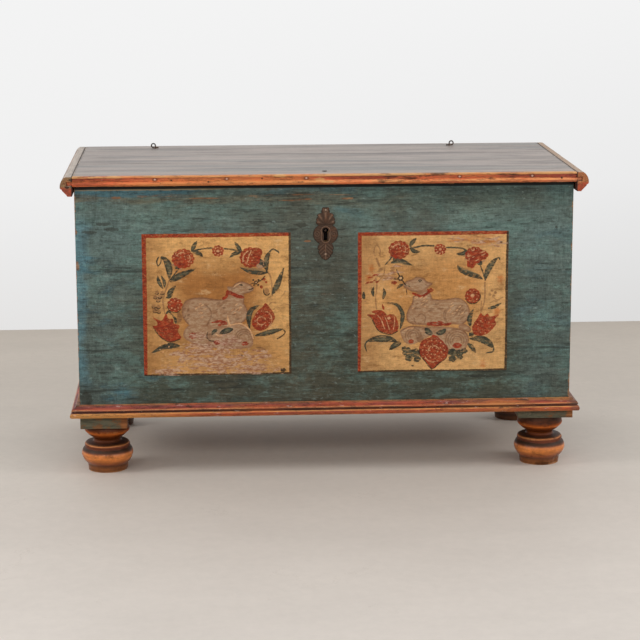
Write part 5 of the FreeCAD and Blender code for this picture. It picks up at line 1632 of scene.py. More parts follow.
@dataclass(frozen=True)
class PanelPaint:
    """The ochre ground of a panel and the strokes that lie on it."""

    name: str
    light: str
    middle: str
    low: str
    edge: str
    left: float
    right: float
    bottom: float
    top: float

    def material(self) -> bpy.types.Material:
        """Build the material.

        Returns:
            The material.
        """
        g = Graph(self.name)
        up = ((g.z - self.bottom) / (self.top - self.bottom)).held()
        across = ((g.x - self.left) / (self.right - self.left)).held()
        cloud = g.noise(9, (1, 1, 1.4), detail=5, rough=0.6, seed=1)
        brush = g.noise(26, (1, 1, 9), detail=5, rough=0.62, seed=2)
        upright = g.noise(40, (9, 1, 1), detail=4, rough=0.6, seed=3)
        fine = g.noise(420, (1, 1, 1.6), detail=3, rough=0.6, seed=4)
        edge_gap = across.least(1 - across).least(up.least(1 - up))
        middle = (edge_gap + (cloud - 0.5) * 0.3).rise(0.06, 0.34)
        ground = g.mix(middle, self.light, self.middle)
        ground = g.mix((up + (cloud - 0.5) * 0.4).rise(0.42, 0.1) * 0.6, ground, self.low)
        ground = g.mix((across + (cloud - 0.5) * 0.2).rise(0.2, 0.02) * 0.6, ground, self.edge)
        warm = (g.attribute(STAIN.value) + (brush - 0.5) * 4).rise(-0.8, 1.6)
        ground = g.mix(warm * 0.7, ground, "#b4642c")
        mottle = g.noise(70, (1, 1, 1.5), detail=7, rough=0.76, seed=22)
        ground = g.shade(ground, 1 + (cloud - 0.5) * 0.7 + (brush - 0.5) * 0.55 + (upright - 0.5) * 0.4
                         + (fine - 0.5) * 0.5 + (mottle - 0.5) * 1.2)
        stain = g.noise(26, (1, 1, 2.6), detail=8, rough=0.76, seed=6)
        ground = g.mix(stain.rise(0.53, 0.66) * 0.6, ground, "#7d5128")
        ground = g.mix(stain.rise(0.45, 0.33) * 0.55, ground, "#dcb684")
        grain = abs(g.noise(9, (1, 1, 13), detail=8, rough=0.74, seed=7) - 0.5).rise(0.016, 0.003)
        ground = g.mix(grain * 0.3, ground, "#6d4623")
        ragged = (g.noise(230, detail=5, rough=0.7, seed=8) - 0.5) * 2.4
        missing = g.noise(95, (1, 1, 2.2), detail=6, rough=0.74, seed=9)

        def coat(layer: Coat, soft: float = 0.16, hold: float = 1.0, inset: float = 0.0) -> Value:
            """Find where a layer's strokes lie, with ragged edges and lost flakes."""
            cover = (g.attribute(layer.value) - inset + ragged * 0.5).rise(-soft, soft)
            return cover * (1 - missing.rise(0.5, 0.62) * (1 - hold))

        def tone(colour: str, other: str, seed: int) -> bpy.types.NodeSocket:
            """Vary a colour from one brush mark to the next."""
            marks = g.noise(90, (1, 1, 2.4), detail=6, rough=0.72, seed=seed)
            return g.mix(marks.rise(0.38, 0.6), colour, other)

        colour = g.mix(coat(BODY, 0.3) * 0.85, ground, tone("#b29577", "#967255", 11))
        modelled = coat(BODY, 0.3) * (g.attribute(BODY.value) + (cloud - 0.5) * 3).rise(1.7, 0.0)
        colour = g.mix(modelled * 0.6, colour, "#85573c")
        colour = g.mix(coat(SHADE, 0.35, 0.5) * 0.66, colour, tone("#63402c", "#7e563b", 12))
        colour = g.mix(coat(LEAF, hold=0.45) * 0.96, colour, tone("#1e231d", "#3c4034", 13))
        colour = g.mix(coat(GLINT, 0.3, 0.6) * 0.6, colour, tone("#80775a", "#4c4c3b", 14))
        colour = g.mix(coat(RED, hold=0.7) * 0.96, colour, tone("#a4381c", "#782515", 15))
        dots = (g.noise(300, detail=3, seed=25)).rise(0.6, 0.66) * coat(RED, inset=0.5)
        colour = g.mix(dots * 0.5, colour, "#cc7a50")
        veins = g.noise(150, (1, 1, 1.4), detail=5, rough=0.7, seed=26).rise(0.55, 0.62)
        colour = g.mix(veins * coat(RED, inset=0.4) * 0.6, colour, "#5a1c12")
        colour = g.mix(coat(LINE, hold=0.8) * 0.94, colour, tone("#211c16", "#35291d", 16))
        colour = g.mix(coat(PALE, 0.18, 0.75) * 0.85, colour, tone("#dcb080", "#c08a60", 17))
        scuffs = g.noise(34, (1, 1, 4.5), detail=7, rough=0.74, seed=18)
        rubbed = (g.attribute(RUB.value) * 0.45 + (scuffs - 0.5) * 4.6).rise(-0.05, 0.3)
        colour = g.mix(rubbed * 0.8, colour, tone("#c6a68c", "#8a5740", 19))
        lost = (g.noise(22, (1, 1, 2.4), detail=8, rough=0.78, seed=21)).rise(0.62, 0.68)
        colour = g.mix(lost * 0.55, colour, "#6b4a2e")
        relief = brush * 0.4 + fine * 0.3 + coat(RED) * 0.3
        return g.finish(colour, fine * 0.2 + 0.46, relief, 0.3 * MM, specular=0.15)


@dataclass
class PaintedPanel:
    """One of the two painted panels: a skin of paint on the front board."""

    name: str
    left: float
    right: float
    bottom: float
    top: float
    paint: Callable[[LambPanel], None]
    ground: tuple[str, str, str, str]
    face: float = FRONT_FACE
    pitch: float = 1.16 * MM
    skin: float = 0.2 * MM

    def build(self) -> bpy.types.Object:
        """Build and dress the panel.

        Returns:
            The panel.
        """
        canvas = LambPanel(self.right - self.left, self.top - self.bottom, self.pitch)
        self.paint(canvas)
        u, v = np.meshgrid(np.linspace(self.left, self.right, canvas.columns),
                           np.linspace(self.bottom, self.top, canvas.rows))
        front = np.stack([u, np.full(u.shape, self.face - self.skin), v], axis=-1).reshape(-1, 3)
        index = np.arange(len(front)).reshape(canvas.rows, canvas.columns)
        rim = np.concatenate([index[0, :], index[1:, -1], index[-1, -2::-1], index[-2:0:-1, 0]])
        back = front[rim] + (0, self.skin, 0)
        behind = np.arange(len(rim)) + len(front)
        sides = [(a, c, d, b) for a, b, c, d in zip(rim, np.roll(rim, -1), behind, np.roll(behind, -1))]
        faces = [tuple(map(int, face)) for face in (*squares(index), *sides, behind[::-1])]
        finish = PanelPaint(self.name + "_paint", *self.ground, self.left, self.right, self.bottom, self.top)
        piece = add_piece(self.name, np.vstack([front, back]), faces, Body.CASE, Slot.CASE_PAINT,
                          finish.material())
        for coat, layer in canvas.layers.items():
            values = np.concatenate([layer.reshape(-1), layer.reshape(-1)[rim]]).astype(np.float32)
            carry(piece, coat.value, values)
        return piece


def squares(index: np.ndarray) -> np.ndarray:
    """Join a grid of points into faces, one row each."""
    return np.stack([index[:-1, :-1], index[:-1, 1:], index[1:, 1:], index[1:, :-1]], axis=-1).reshape(-1, 4)


def add_piece(name: str, points: Sequence[Sequence[float]], faces: Sequence[Sequence[int]], body: Body,
              slot: Slot, material: bpy.types.Material) -> bpy.types.Object:
    """Make a mesh piece that rides on a body.

    Args:
        name: the piece's name.
        points: its points.
        faces: its faces.
        body: the body that carries it.
        slot: not used.
        material: its finish.

    Returns:
        The piece.
    """
    mesh = bpy.data.meshes.new(name)
    mesh.from_pydata([tuple(map(float, point)) for point in points], [], [tuple(face) for face in faces])
    mesh.validate()
    mesh.materials.append(material)
    mesh.polygons.foreach_set("use_smooth", [False] * len(mesh.polygons))
    piece = put(name, mesh)
    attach(piece, body.value)
    LOG.info("%s: %d faces on %s", name, len(mesh.polygons), body.value)
    return piece


Step = Union[Point, tuple[Point, Point]]


def drawn(steps: Sequence[Step], across: float, up: float, per_arc: int = 9) -> list[Point]:
    """Follow an outline of corners and arcs.

    Args:
        steps: each a corner, or the middle and the end of an arc, in shares of the two sizes.
        across: the size across.
        up: the size up.
        per_arc: how many points each arc gets.

    Returns:
        Points along the outline, in metres.
    """
    def sized(step: Step) -> Step:
        """Turn the shares of a step into sizes."""
        return tuple(map(sized, step)) if isinstance(step[0], tuple) else (step[0] * across, step[1] * up)

    line: list[Point] = [sized(steps[0])]
    for step in map(sized, steps[1:]):
        if not isinstance(step[0], tuple):
            line.append(step)
            continue
        start, middle, end = (np.array(p, dtype=float) for p in (line[-1], *step))
        rows = np.array([middle - start, end - start])
        centre = np.linalg.solve(2 * rows, (rows * (rows + 2 * start)).sum(1))
        turns = np.unwrap([math.atan2(*(p - centre)[::-1]) for p in (start, middle, end)])
        radius = float(np.hypot(*(start - centre)))
        for turn in np.linspace(turns[0], turns[2], per_arc + 1)[1:]:
            line.append((centre[0] + radius * math.cos(turn), centre[1] + radius * math.sin(turn)))
    return line


def even(line: Sequence[Point], pitch: float) -> np.ndarray:
    """Add points to a line so that none of its runs is longer than a pitch, keeping its corners.

    Args:
        line: the line.
        pitch: the longest run.

    Returns:
        The line's points, one row each.
    """
    points = [np.array(line[0], dtype=float)]
    for spot in line[1:]:
        spot = np.array(spot, dtype=float)
        count = max(1, math.ceil(float(np.hypot(*(spot - points[-1]))) / pitch))
        start = points[-1]
        points += [start + (spot - start) * k / count for k in range(1, count + 1)]
    return np.array(points)


@dataclass(frozen=True)
class TurnedFoot:
    """A bun foot turned from one block, worn and a little chipped."""

    name: str
    x: float
    y: float
    top: float
    seed: int
    chips: tuple[tuple[float, float, float, float], ...] = ()
    radius: float = 0.0645
    height: float = 0.115
    tenon_radius: float = 0.015
    tenon_top: float = 0.159
    segments: int = 104
    collar: float = 0.83
    shares: tuple[Step, ...] = (
        (0, 0), (0.745, 0), (0.765, 0.02), (0.785, 0.1), (0.795, 0.145), (0.83, 0.17),
        ((0.945, 0.262), (0.996, 0.345)), ((0.985, 0.40), (0.90, 0.49)), (0.872, 0.50), (0.865, 0.52),
        ((0.865, 0.578), (0.83, 0.600)), (0.60, 0.618),
        ((0.515, 0.665), (0.56, 0.712)), ((0.67, 0.752), (0.82, 0.830)), ((0.865, 0.860), (0.865, 0.930)))

    def outline(self) -> np.ndarray:
        """Work out the foot's outline.

        Returns:
            Radii and heights, one row for each point.
        """
        line = drawn(self.shares, self.radius, self.height)
        line += [(self.collar * self.radius, self.top), (self.tenon_radius, self.top),
                 (self.tenon_radius, self.tenon_top), (0, self.tenon_top)]
        return even(line, 1.6 * MM)

    def build(self, material: bpy.types.Material) -> bpy.types.Object:
        """Build and dress the foot.

        Args:
            material: its varnish.

        Returns:
            The foot.
        """
        line = self.outline()
        rings, turns = len(line) - 2, np.arange(self.segments) * FULL_TURN / self.segments
        radii, heights = line[1:-1, 0], line[1:-1, 1]
        skin = (heights > 0.001) & (heights < self.top - 0.0005) & (radii > 0.02)
        ripple = self._ripple(turns, heights)
        worn = radii[:, None] - ripple * skin[:, None]
        points = np.stack([self.x + worn * np.cos(turns), self.y + worn * np.sin(turns),
                           np.repeat(heights[:, None], self.segments, axis=1)], axis=-1).reshape(-1, 3)
        points = np.vstack([points, (self.x, self.y, line[0, 1]), (self.x, self.y, line[-1, 1])])
        index = np.arange(rings * self.segments).reshape(rings, self.segments)
        ahead = np.roll(index, -1, axis=1)
        faces = np.stack([index[:-1], ahead[:-1], ahead[1:], index[1:]], axis=-1).reshape(-1, 4).tolist()
        low, high = rings * self.segments, rings * self.segments + 1
        faces += [(low, int(b), int(a)) for a, b in zip(index[0], ahead[0])]
        faces += [(high, int(a), int(b)) for a, b in zip(index[-1], ahead[-1])]
        foot = add_piece(self.name, points, faces, Body.CASE, Slot.FOOT_VARNISH, material)
        share = np.append(np.repeat(heights / self.height, self.segments), (0, 1))
        rim = np.append(np.repeat(self._rims(line), self.segments), (0, 0))
        for name, values in (("height_share", share), ("rim_share", rim)):
            carry(foot, name, values.astype(np.float32))
        foot.data.shade_smooth()
        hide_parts(self.name.replace("turned", "bun"))
        return foot

    def _ripple(self, turns: np.ndarray, heights: np.ndarray) -> np.ndarray:
        """Work out how much wood is worn or knocked off, ring by ring.

        Args:
            turns: the angles round the foot.
            heights: the heights of the rings.

        Returns:
            Depths in metres, none of them negative.
        """
        rng = np.random.default_rng(self.seed)
        angle, level = np.meshgrid(turns, heights)
        ripple = np.zeros(angle.shape)
        for _ in range(9):
            around, phase, lift = rng.integers(1, 9), rng.uniform(0, FULL_TURN), rng.uniform(20, 160)
            ripple += 0.11 * MM * (1 + np.cos(around * angle + phase + level * lift))
        dents = [(rng.uniform(0, FULL_TURN), rng.uniform(0.01, self.height), rng.uniform(2, 6) * MM,
                  rng.uniform(0.4, 1.2) * MM) for _ in range(26)]
        dents += [(math.radians(a), z, size, depth) for a, z, size, depth in self.chips]
        for place, height, size, depth in dents:
            across = np.angle(np.exp(1j * (angle - place))) * self.radius
            ripple += depth * np.exp(-(across ** 2 + (level - height) ** 2) / size ** 2)
        return ripple

    def _rims(self, line: np.ndarray) -> np.ndarray:
        """Find the ridges of an outline.

        Args:
            line: the outline.

        Returns:
            How much each inner point stands proud of those about it, from 0 to 1.
        """
        radii = np.interp(np.arange(-4, len(line) + 4), np.arange(len(line)), line[:, 0])
        smooth = np.convolve(radii, np.ones(9) / 9, mode="valid")
        return np.clip((line[:, 0] - smooth)[1:-1] / (1.1 * MM), 0, 1)


@dataclass(frozen=True)
class Feet:
    """The four turned feet."""

    reach: float = 0.538
    front: float = -0.21905
    back: float = 0.22495
    top: float = 0.115
    long_top: float = 0.124

    def build(self) -> None:
        """Build the feet."""
        varnish = FootVarnish().material()
        for name, x, y, top, seed, chips in (
                ("front_left", -self.reach, self.front, self.top, 3,
                 ((250, 0.052, 0.007, 0.0014), (285, 0.016, 0.006, 0.0012))),
                ("front_right", self.reach, self.front, self.long_top, 5,
                 ((318, 0.006, 0.013, 0.0052), (300, 0.003, 0.008, 0.003), (262, 0.04, 0.006, 0.001))),
                ("back_left", -self.reach, self.back, self.top, 8, ()),
                ("back_right", self.reach, self.back, self.top, 13, ())):
            TurnedFoot("turned_foot_" + name, x, y, top, seed, chips).build(varnish)


@dataclass(frozen=True)
class WornPart:
    """A packed wooden part with its arrises rubbed round and nicked."""

    node: str
    body: Body
    slot: Slot
    axis: int
    round_off: float = 1.3 * MM
    pitch: float = 0.024
    wander: float = 0.25 * MM
    nick: float = 0.9 * MM
    shortest: float = 7 * MM
    sharp: float = math.radians(28)

    def build(self, material: bpy.types.Material) -> bpy.types.Object:
        """Build and dress the part.

        Args:
            material: its finish.

        Returns:
            The part.
        """
        mesh = bmesh.new()
        mesh.from_mesh(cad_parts[self.node].data)
        bmesh.ops.remove_doubles(mesh, verts=mesh.verts, dist=0.01 * MM)
        bmesh.ops.dissolve_limit(mesh, angle_limit=math.radians(0.5), verts=mesh.verts, edges=mesh.edges)
        reach = [(min(vertex.co[k] for vertex in mesh.verts), max(vertex.co[k] for vertex in mesh.verts))
                 for k in range(3)]
        arrises = [edge for edge in mesh.edges if edge.is_manifold and edge.calc_length() > self.shortest
                   and edge.calc_face_angle(0) > self.sharp and edge.is_convex]
        bmesh.ops.bevel(mesh, geom=arrises, offset=self.round_off, offset_type="OFFSET", segments=2,
                        profile=0.55, affect="EDGES", clamp_overlap=True)
        self._slice(mesh)
        self._wear(mesh)
        bmesh.ops.recalc_face_normals(mesh, faces=mesh.faces)
        points = [[min(max(place, low), high) for place, (low, high) in zip(vertex.co, reach)]
                  for vertex in mesh.verts]
        mesh.verts.index_update()
        faces = [[vertex.index for vertex in face.verts] for face in mesh.faces]
        mesh.free()
        part = add_piece("worn_" + self.node, points, faces, self.body, self.slot, material)
        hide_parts(self.node)
        return part

    def _slice(self, mesh: bmesh.types.BMesh) -> None:
        """Cut the part across its grain, so that it can be worn along its length.

        Args:
            mesh: the part.
        """
        places = [vertex.co[self.axis] for vertex in mesh.verts]
        low, high = min(places), max(places)
        across = Vector([float(k == self.axis) for k in range(3)])
        for cut in np.linspace(low, high, max(2, round((high - low) / self.pitch)) + 1)[1:-1]:
            bmesh.ops.bisect_plane(mesh, geom=mesh.verts[:] + mesh.edges[:] + mesh.faces[:], dist=0.001 * MM,
                                   plane_co=across * float(cut + 0.37 * MM), plane_no=across)

    def _wear(self, mesh: bmesh.types.BMesh) -> None:
        """Push the skin in a little, and more along the arrises.

        Args:
            mesh: the part.
        """
        mesh.normal_update()
        moves = []
        for vertex in mesh.verts:
            slant = 1 - max(abs(part) for part in vertex.normal)
            uneven = 0.5 + 0.5 * noise.noise(vertex.co * 9)
            nick = max(0.0, noise.noise(vertex.co * 47 + Vector((3, 5, 7)))) * min(1.0, slant * 5)
            moves.append(vertex.normal * -(self.wander * uneven + self.nick * nick))
        for vertex, move in zip(mesh.verts, moves):
            vertex.co += move


class NailTree:
    """The Geometry Nodes tree that sets a hand-forged nail on every point of a mesh."""

    head_share = 0.45
    crown = 0.42
    shoulder = 0.88

    def __init__(self) -> None:
        """Make the tree and its named inputs."""
        self.tree = bpy.data.node_groups.new("forged_nails", "GeometryNodeTree")
        self.keys = {}
        face = self.tree.interface
        face.new_socket("Geometry", in_out="OUTPUT", socket_type="NodeSocketGeometry")
        for name, kind in (("points", "NodeSocketGeometry"), ("head radius", "NodeSocketFloat"),
                           ("head height", "NodeSocketFloat"), ("shank radius", "NodeSocketFloat"),
                           ("shank length", "NodeSocketFloat"), ("sides", "NodeSocketInt"),
                           ("finish", "NodeSocketMaterial")):
            self.keys[name] = face.new_socket(name, in_out="INPUT", socket_type=kind).identifier
        self.given = self.node("NodeGroupInput").outputs
        self._grow()

    def node(self, kind: str, settings: Optional[dict] = None,
             inputs: Optional[dict] = None) -> bpy.types.Node:
        """Add a node."""
        return add_node(self.tree, kind, settings, inputs)

    def times(self, socket: bpy.types.NodeSocket, factor: float) -> bpy.types.NodeSocket:
        """Multiply a number."""
        return self.node("ShaderNodeMath", {"operation": "MULTIPLY"}, {0: socket, 1: factor}).outputs[0]

    def frustum(self, low: object, high: object, height: object) -> bpy.types.NodeSocket:
        """Add a many-sided block that narrows upwards.

        Args:
            low: its radius at the foot.
            high: its radius at the top.
            height: its height.

        Returns:
            Its mesh.
        """
        return self.node("GeometryNodeMeshCone", None, {"Vertices": self.given["sides"], "Radius Bottom": low,
                                                        "Radius Top": high, "Depth": height}).outputs[0]

    def _grow(self) -> None:
        """Put the nail together and set it on the points."""
        radius, height = self.given["head radius"], self.given["head height"]
        rise = self.times(height, self.head_share)
        skirt = self.frustum(radius, self.times(radius, self.shoulder), rise)
        crown = self.frustum(self.times(radius, self.shoulder), self.times(radius, self.crown),
                             self.times(height, 1 - self.head_share))
        lift = self.node("ShaderNodeCombineXYZ", None, {2: rise}).outputs[0]
        crown = self.node("GeometryNodeTransform", None, {"Geometry": crown, "Translation": lift}).outputs[0]
        shank = self.frustum(self.given["shank radius"], self.times(self.given["shank radius"], 0.6),
                             self.given["shank length"])
        shank = self.node("GeometryNodeTransform", None,
                          {"Geometry": shank, "Rotation": (math.pi, 0, 0)}).outputs[0]
        nail = self.node("GeometryNodeJoinGeometry")
        for part in (skirt, crown, shank):
            self.tree.links.new(part, nail.inputs[0])
        aim = self.node("GeometryNodeInputNamedAttribute", {"data_type": "FLOAT_VECTOR"}, {"Name": "aim"})
        turn = self.node("FunctionNodeAlignRotationToVector", {"axis": "Z"}, {"Vector": aim.outputs[0]})
        size = self.node("FunctionNodeRandomValue", {"data_type": "FLOAT"}, {2: 0.9, 3: 1.0, "Seed": 4})
        spread = self.node("GeometryNodeInstanceOnPoints", None,
                           {"Points": self.given["points"], "Instance": nail.outputs[0],
                            "Rotation": turn.outputs[0], "Scale": size.outputs[1]})
        spin = self.node("FunctionNodeRandomValue", {"data_type": "FLOAT"}, {2: 0.0, 3: FULL_TURN, "Seed": 9})
        about = self.node("ShaderNodeCombineXYZ", None, {2: spin.outputs[1]}).outputs[0]
        turned = self.node("GeometryNodeRotateInstances", None,
                           {"Instances": spread.outputs[0], "Rotation": about})
        solid = self.node("GeometryNodeRealizeInstances", None, {0: turned.outputs[0]})
        dressed = self.node("GeometryNodeSetMaterial", None,
                            {"Geometry": solid.outputs[0], "Material": self.given["finish"]})
        self.node("NodeGroupOutput", None, {0: dressed.outputs[0]})


@dataclass(frozen=True)
class Nails:
    """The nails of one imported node, forged anew where it has them."""

    node: str
    body: Body
    head_radius: float
    head_height: float
    shank_radius: float = 1.3 * MM
    sides: int = 9
    slot: Slot = Slot.IRON

    def build(self, tree: NailTree, material: bpy.types.Material) -> bpy.types.Object:
        """Build and dress the nails.

        Args:
            tree: the tree that forges them.
            material: their finish.

        Returns:
            The nails, as one mesh.
        """
        spots, aims, length = self._places()
        seeds = bpy.data.meshes.new(self.node + "_places")
        seeds.from_pydata(spots, [], [])
        seeds.attributes.new("aim", "FLOAT_VECTOR", "POINT").data.foreach_set("vector", np.ravel(aims))
        holder = put(self.node + "_holder", seeds)
        modifier = holder.modifiers.new("nails", "NODES")
        modifier.node_group = tree.tree
        for name, given in (("head radius", self.head_radius), ("head height", self.head_height),
                            ("shank radius", self.shank_radius), ("shank length", length),
                            ("sides", self.sides), ("finish", material)):
            modifier[tree.keys[name]] = given
        view = bpy.context.evaluated_depsgraph_get()
        mesh = bpy.data.meshes.new_from_object(holder.evaluated_get(view), depsgraph=view)
        bpy.data.objects.remove(holder)
        nails = put("forged_" + self.node, mesh)
        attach(nails, self.body.value)
        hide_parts(self.node)
        LOG.info("%s: %d nails on %s", nails.name, len(spots), self.body.value)
        return nails

    def _places(self) -> tuple[list[Triple], list[Triple], float]:
        """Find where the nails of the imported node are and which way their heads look.

        Returns:
            The undersides of their heads, the way each head looks, and the length of a shank.
        """
        spots, aims, length = [], [], 0.0
        for points in islands(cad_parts[self.node].data):
            low, high = points.min(0), points.max(0)
            axis = int(np.argmax(high - low))
            middle = (low + high) / 2
            widths = [np.ptp(points[np.abs(points[:, axis] - end) < 0.2 * MM], axis=0).max()
                      for end in (low[axis], high[axis])]
            if abs(widths[0] - widths[1]) > 0.5 * MM:
                up = widths[1] > widths[0]
            else:
                up = middle[axis] > 0
            aim = np.zeros(3)
            aim[axis] = 1 if up else -1
            base = middle.copy()
            base[axis] = (high[axis] - self.head_height) if up else (low[axis] + self.head_height)
            spots.append(tuple(map(float, base)))
            aims.append(tuple(map(float, aim)))
            length = float(high[axis] - low[axis]) - self.head_height
        return spots, aims, length


def islands(data: bpy.types.Mesh) -> list[np.ndarray]:
    """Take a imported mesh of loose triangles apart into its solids.

    Args:
        data: the mesh.

    Returns:
        The points of each solid, one row each.
    """
    mesh = bmesh.new()
    mesh.from_mesh(data)
    bmesh.ops.remove_doubles(mesh, verts=mesh.verts, dist=0.001 * MM)
    groups, seen = [], set()
    for first in mesh.verts:
        if first in seen:
            continue
        seen.add(first)
        queue, group = [first], []
        while queue:
            vertex = queue.pop()
            group.append(vertex.co[:])
            for edge in vertex.link_edges:
                other = edge.other_vert(vertex)
                if other not in seen:
                    seen.add(other)
                    queue.append(other)
        groups.append(np.array(group))
    mesh.free()
    return groups


@dataclass(frozen=True)
class Woodwork:
    """The boards, planks, cleats, mouldings and blocks, and the nails that hold them."""

    skin: float = 0.45 * MM

    def parts(self) -> list[WornPart]:
        """List the wooden parts.

        Returns:
            The parts, with their wear.
        """
        paint, strip, lid = Slot.CASE_PAINT, Slot.MOULDING_PAINT, Slot.LID_PAINT
        listed = [WornPart(name, Body.CASE, paint, axis, self.skin, 0.04, 0.0, 0.5 * MM)
                  for name, axis in (("front_board", 0), ("back_board", 0), ("side_board_left", 1),
                                     ("side_board_right", 1))]
        listed += [WornPart("floor_plank_" + name, Body.CASE, Slot.BARE_WOOD, 0)
                   for name in ("front", "middle", "back")]
        listed += [WornPart("base_moulding_" + name, Body.CASE, strip, axis, 0.8 * MM)
                   for name, axis in (("front", 0), ("left", 1), ("right", 1))]
        listed += [WornPart("foot_block_" + name, Body.CASE, Slot.BLOCK_PAINT, 0, 1.6 * MM)
                   for name in ("front_left", "front_right", "back_left", "back_right")]
        listed += [WornPart("lid_plank_" + name, Body.LID, lid, 0, 1.2 * MM, wander=0.12 * MM)
                   for name in ("front", "middle", "back")]
        listed += [WornPart("lid_cleat_" + name, Body.LID, Slot.CLEAT_WOOD, 1, 1.5 * MM)
                   for name in ("left", "right")]
        listed.append(WornPart("lid_moulding_front", Body.LID, strip, 0, 0.8 * MM))
        return listed

    def nails(self) -> list[Nails]:
        """List the nails.

        Returns:
            The groups of nails, with their sizes.
        """
        return [Nails("lid_moulding_nails", Body.LID, 2.6 * MM, 1.0 * MM),
                Nails("escutcheon_nails", Body.CASE, 3.2 * MM, 1.2 * MM),
                Nails("lock_nails", Body.CASE, 4.5 * MM, 1.5 * MM),
                Nails("floor_nails", Body.CASE, 2.6 * MM, 1.0 * MM),
                Nails("foot_block_nails", Body.CASE, 2.6 * MM, 1.0 * MM),
                Nails("moulding_brads", Body.CASE, 1.0 * MM, 0.4 * MM, 0.9 * MM)]

    def build(self) -> None:
        """Build all of it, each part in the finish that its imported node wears."""
        for part in self.parts():
            part.build(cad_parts[part.node].material_slots[0].material)
        tree = NailTree()
        # the lid strip's nail heads: rubbed iron, made pale as a painted highlight
        rubbed = Iron("rubbed_iron", "#dcbcaa", "#bf9273", 0.6, 0.05).material()
        worn = Iron("worn_iron", "#97806d", "#80563a", 0.5, 0.2).material()
        for nails in self.nails():
            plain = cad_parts[nails.node].material_slots[0].material
            nails.build(tree, {"lid_moulding_nails": rubbed, "escutcheon_nails": worn}.get(nails.node, plain))


@dataclass(frozen=True)
class ChasedIron:
    """Browned iron, with painted shade in the hollows of its relief and painted highlight on its ridges,
    which are also rubbed.
    """

    name: str = "chased_iron"
    hollow: str = "#140e0a"
    middle: str = "#3d2c21"
    ridge: str = "#7d604c"

    def material(self) -> bpy.types.Material:
        """Build the material.

        Returns:
            The material.
        """
        g = Graph(self.name)
        # painted shade and highlight: the colour runs from dark in the hollows to light on the ridges
        relief = g.attribute("relief_share") + (g.noise(260, detail=5, rough=0.7) - 0.5) * 0.3
        colour = g.ramp(relief.held(), (0.36, self.hollow), (0.58, self.middle), (0.82, "#4f3b2e"),
                        (0.97, self.ridge))
        rust = g.noise(90, detail=6, rough=0.7, seed=4)
        colour = g.mix(rust.rise(0.5, 0.66) * 0.4, colour, "#6a432c")
        return g.finish(colour, rust * 0.3 + 0.36, rust, 0.25 * MM, 0.25, specular=0.2)


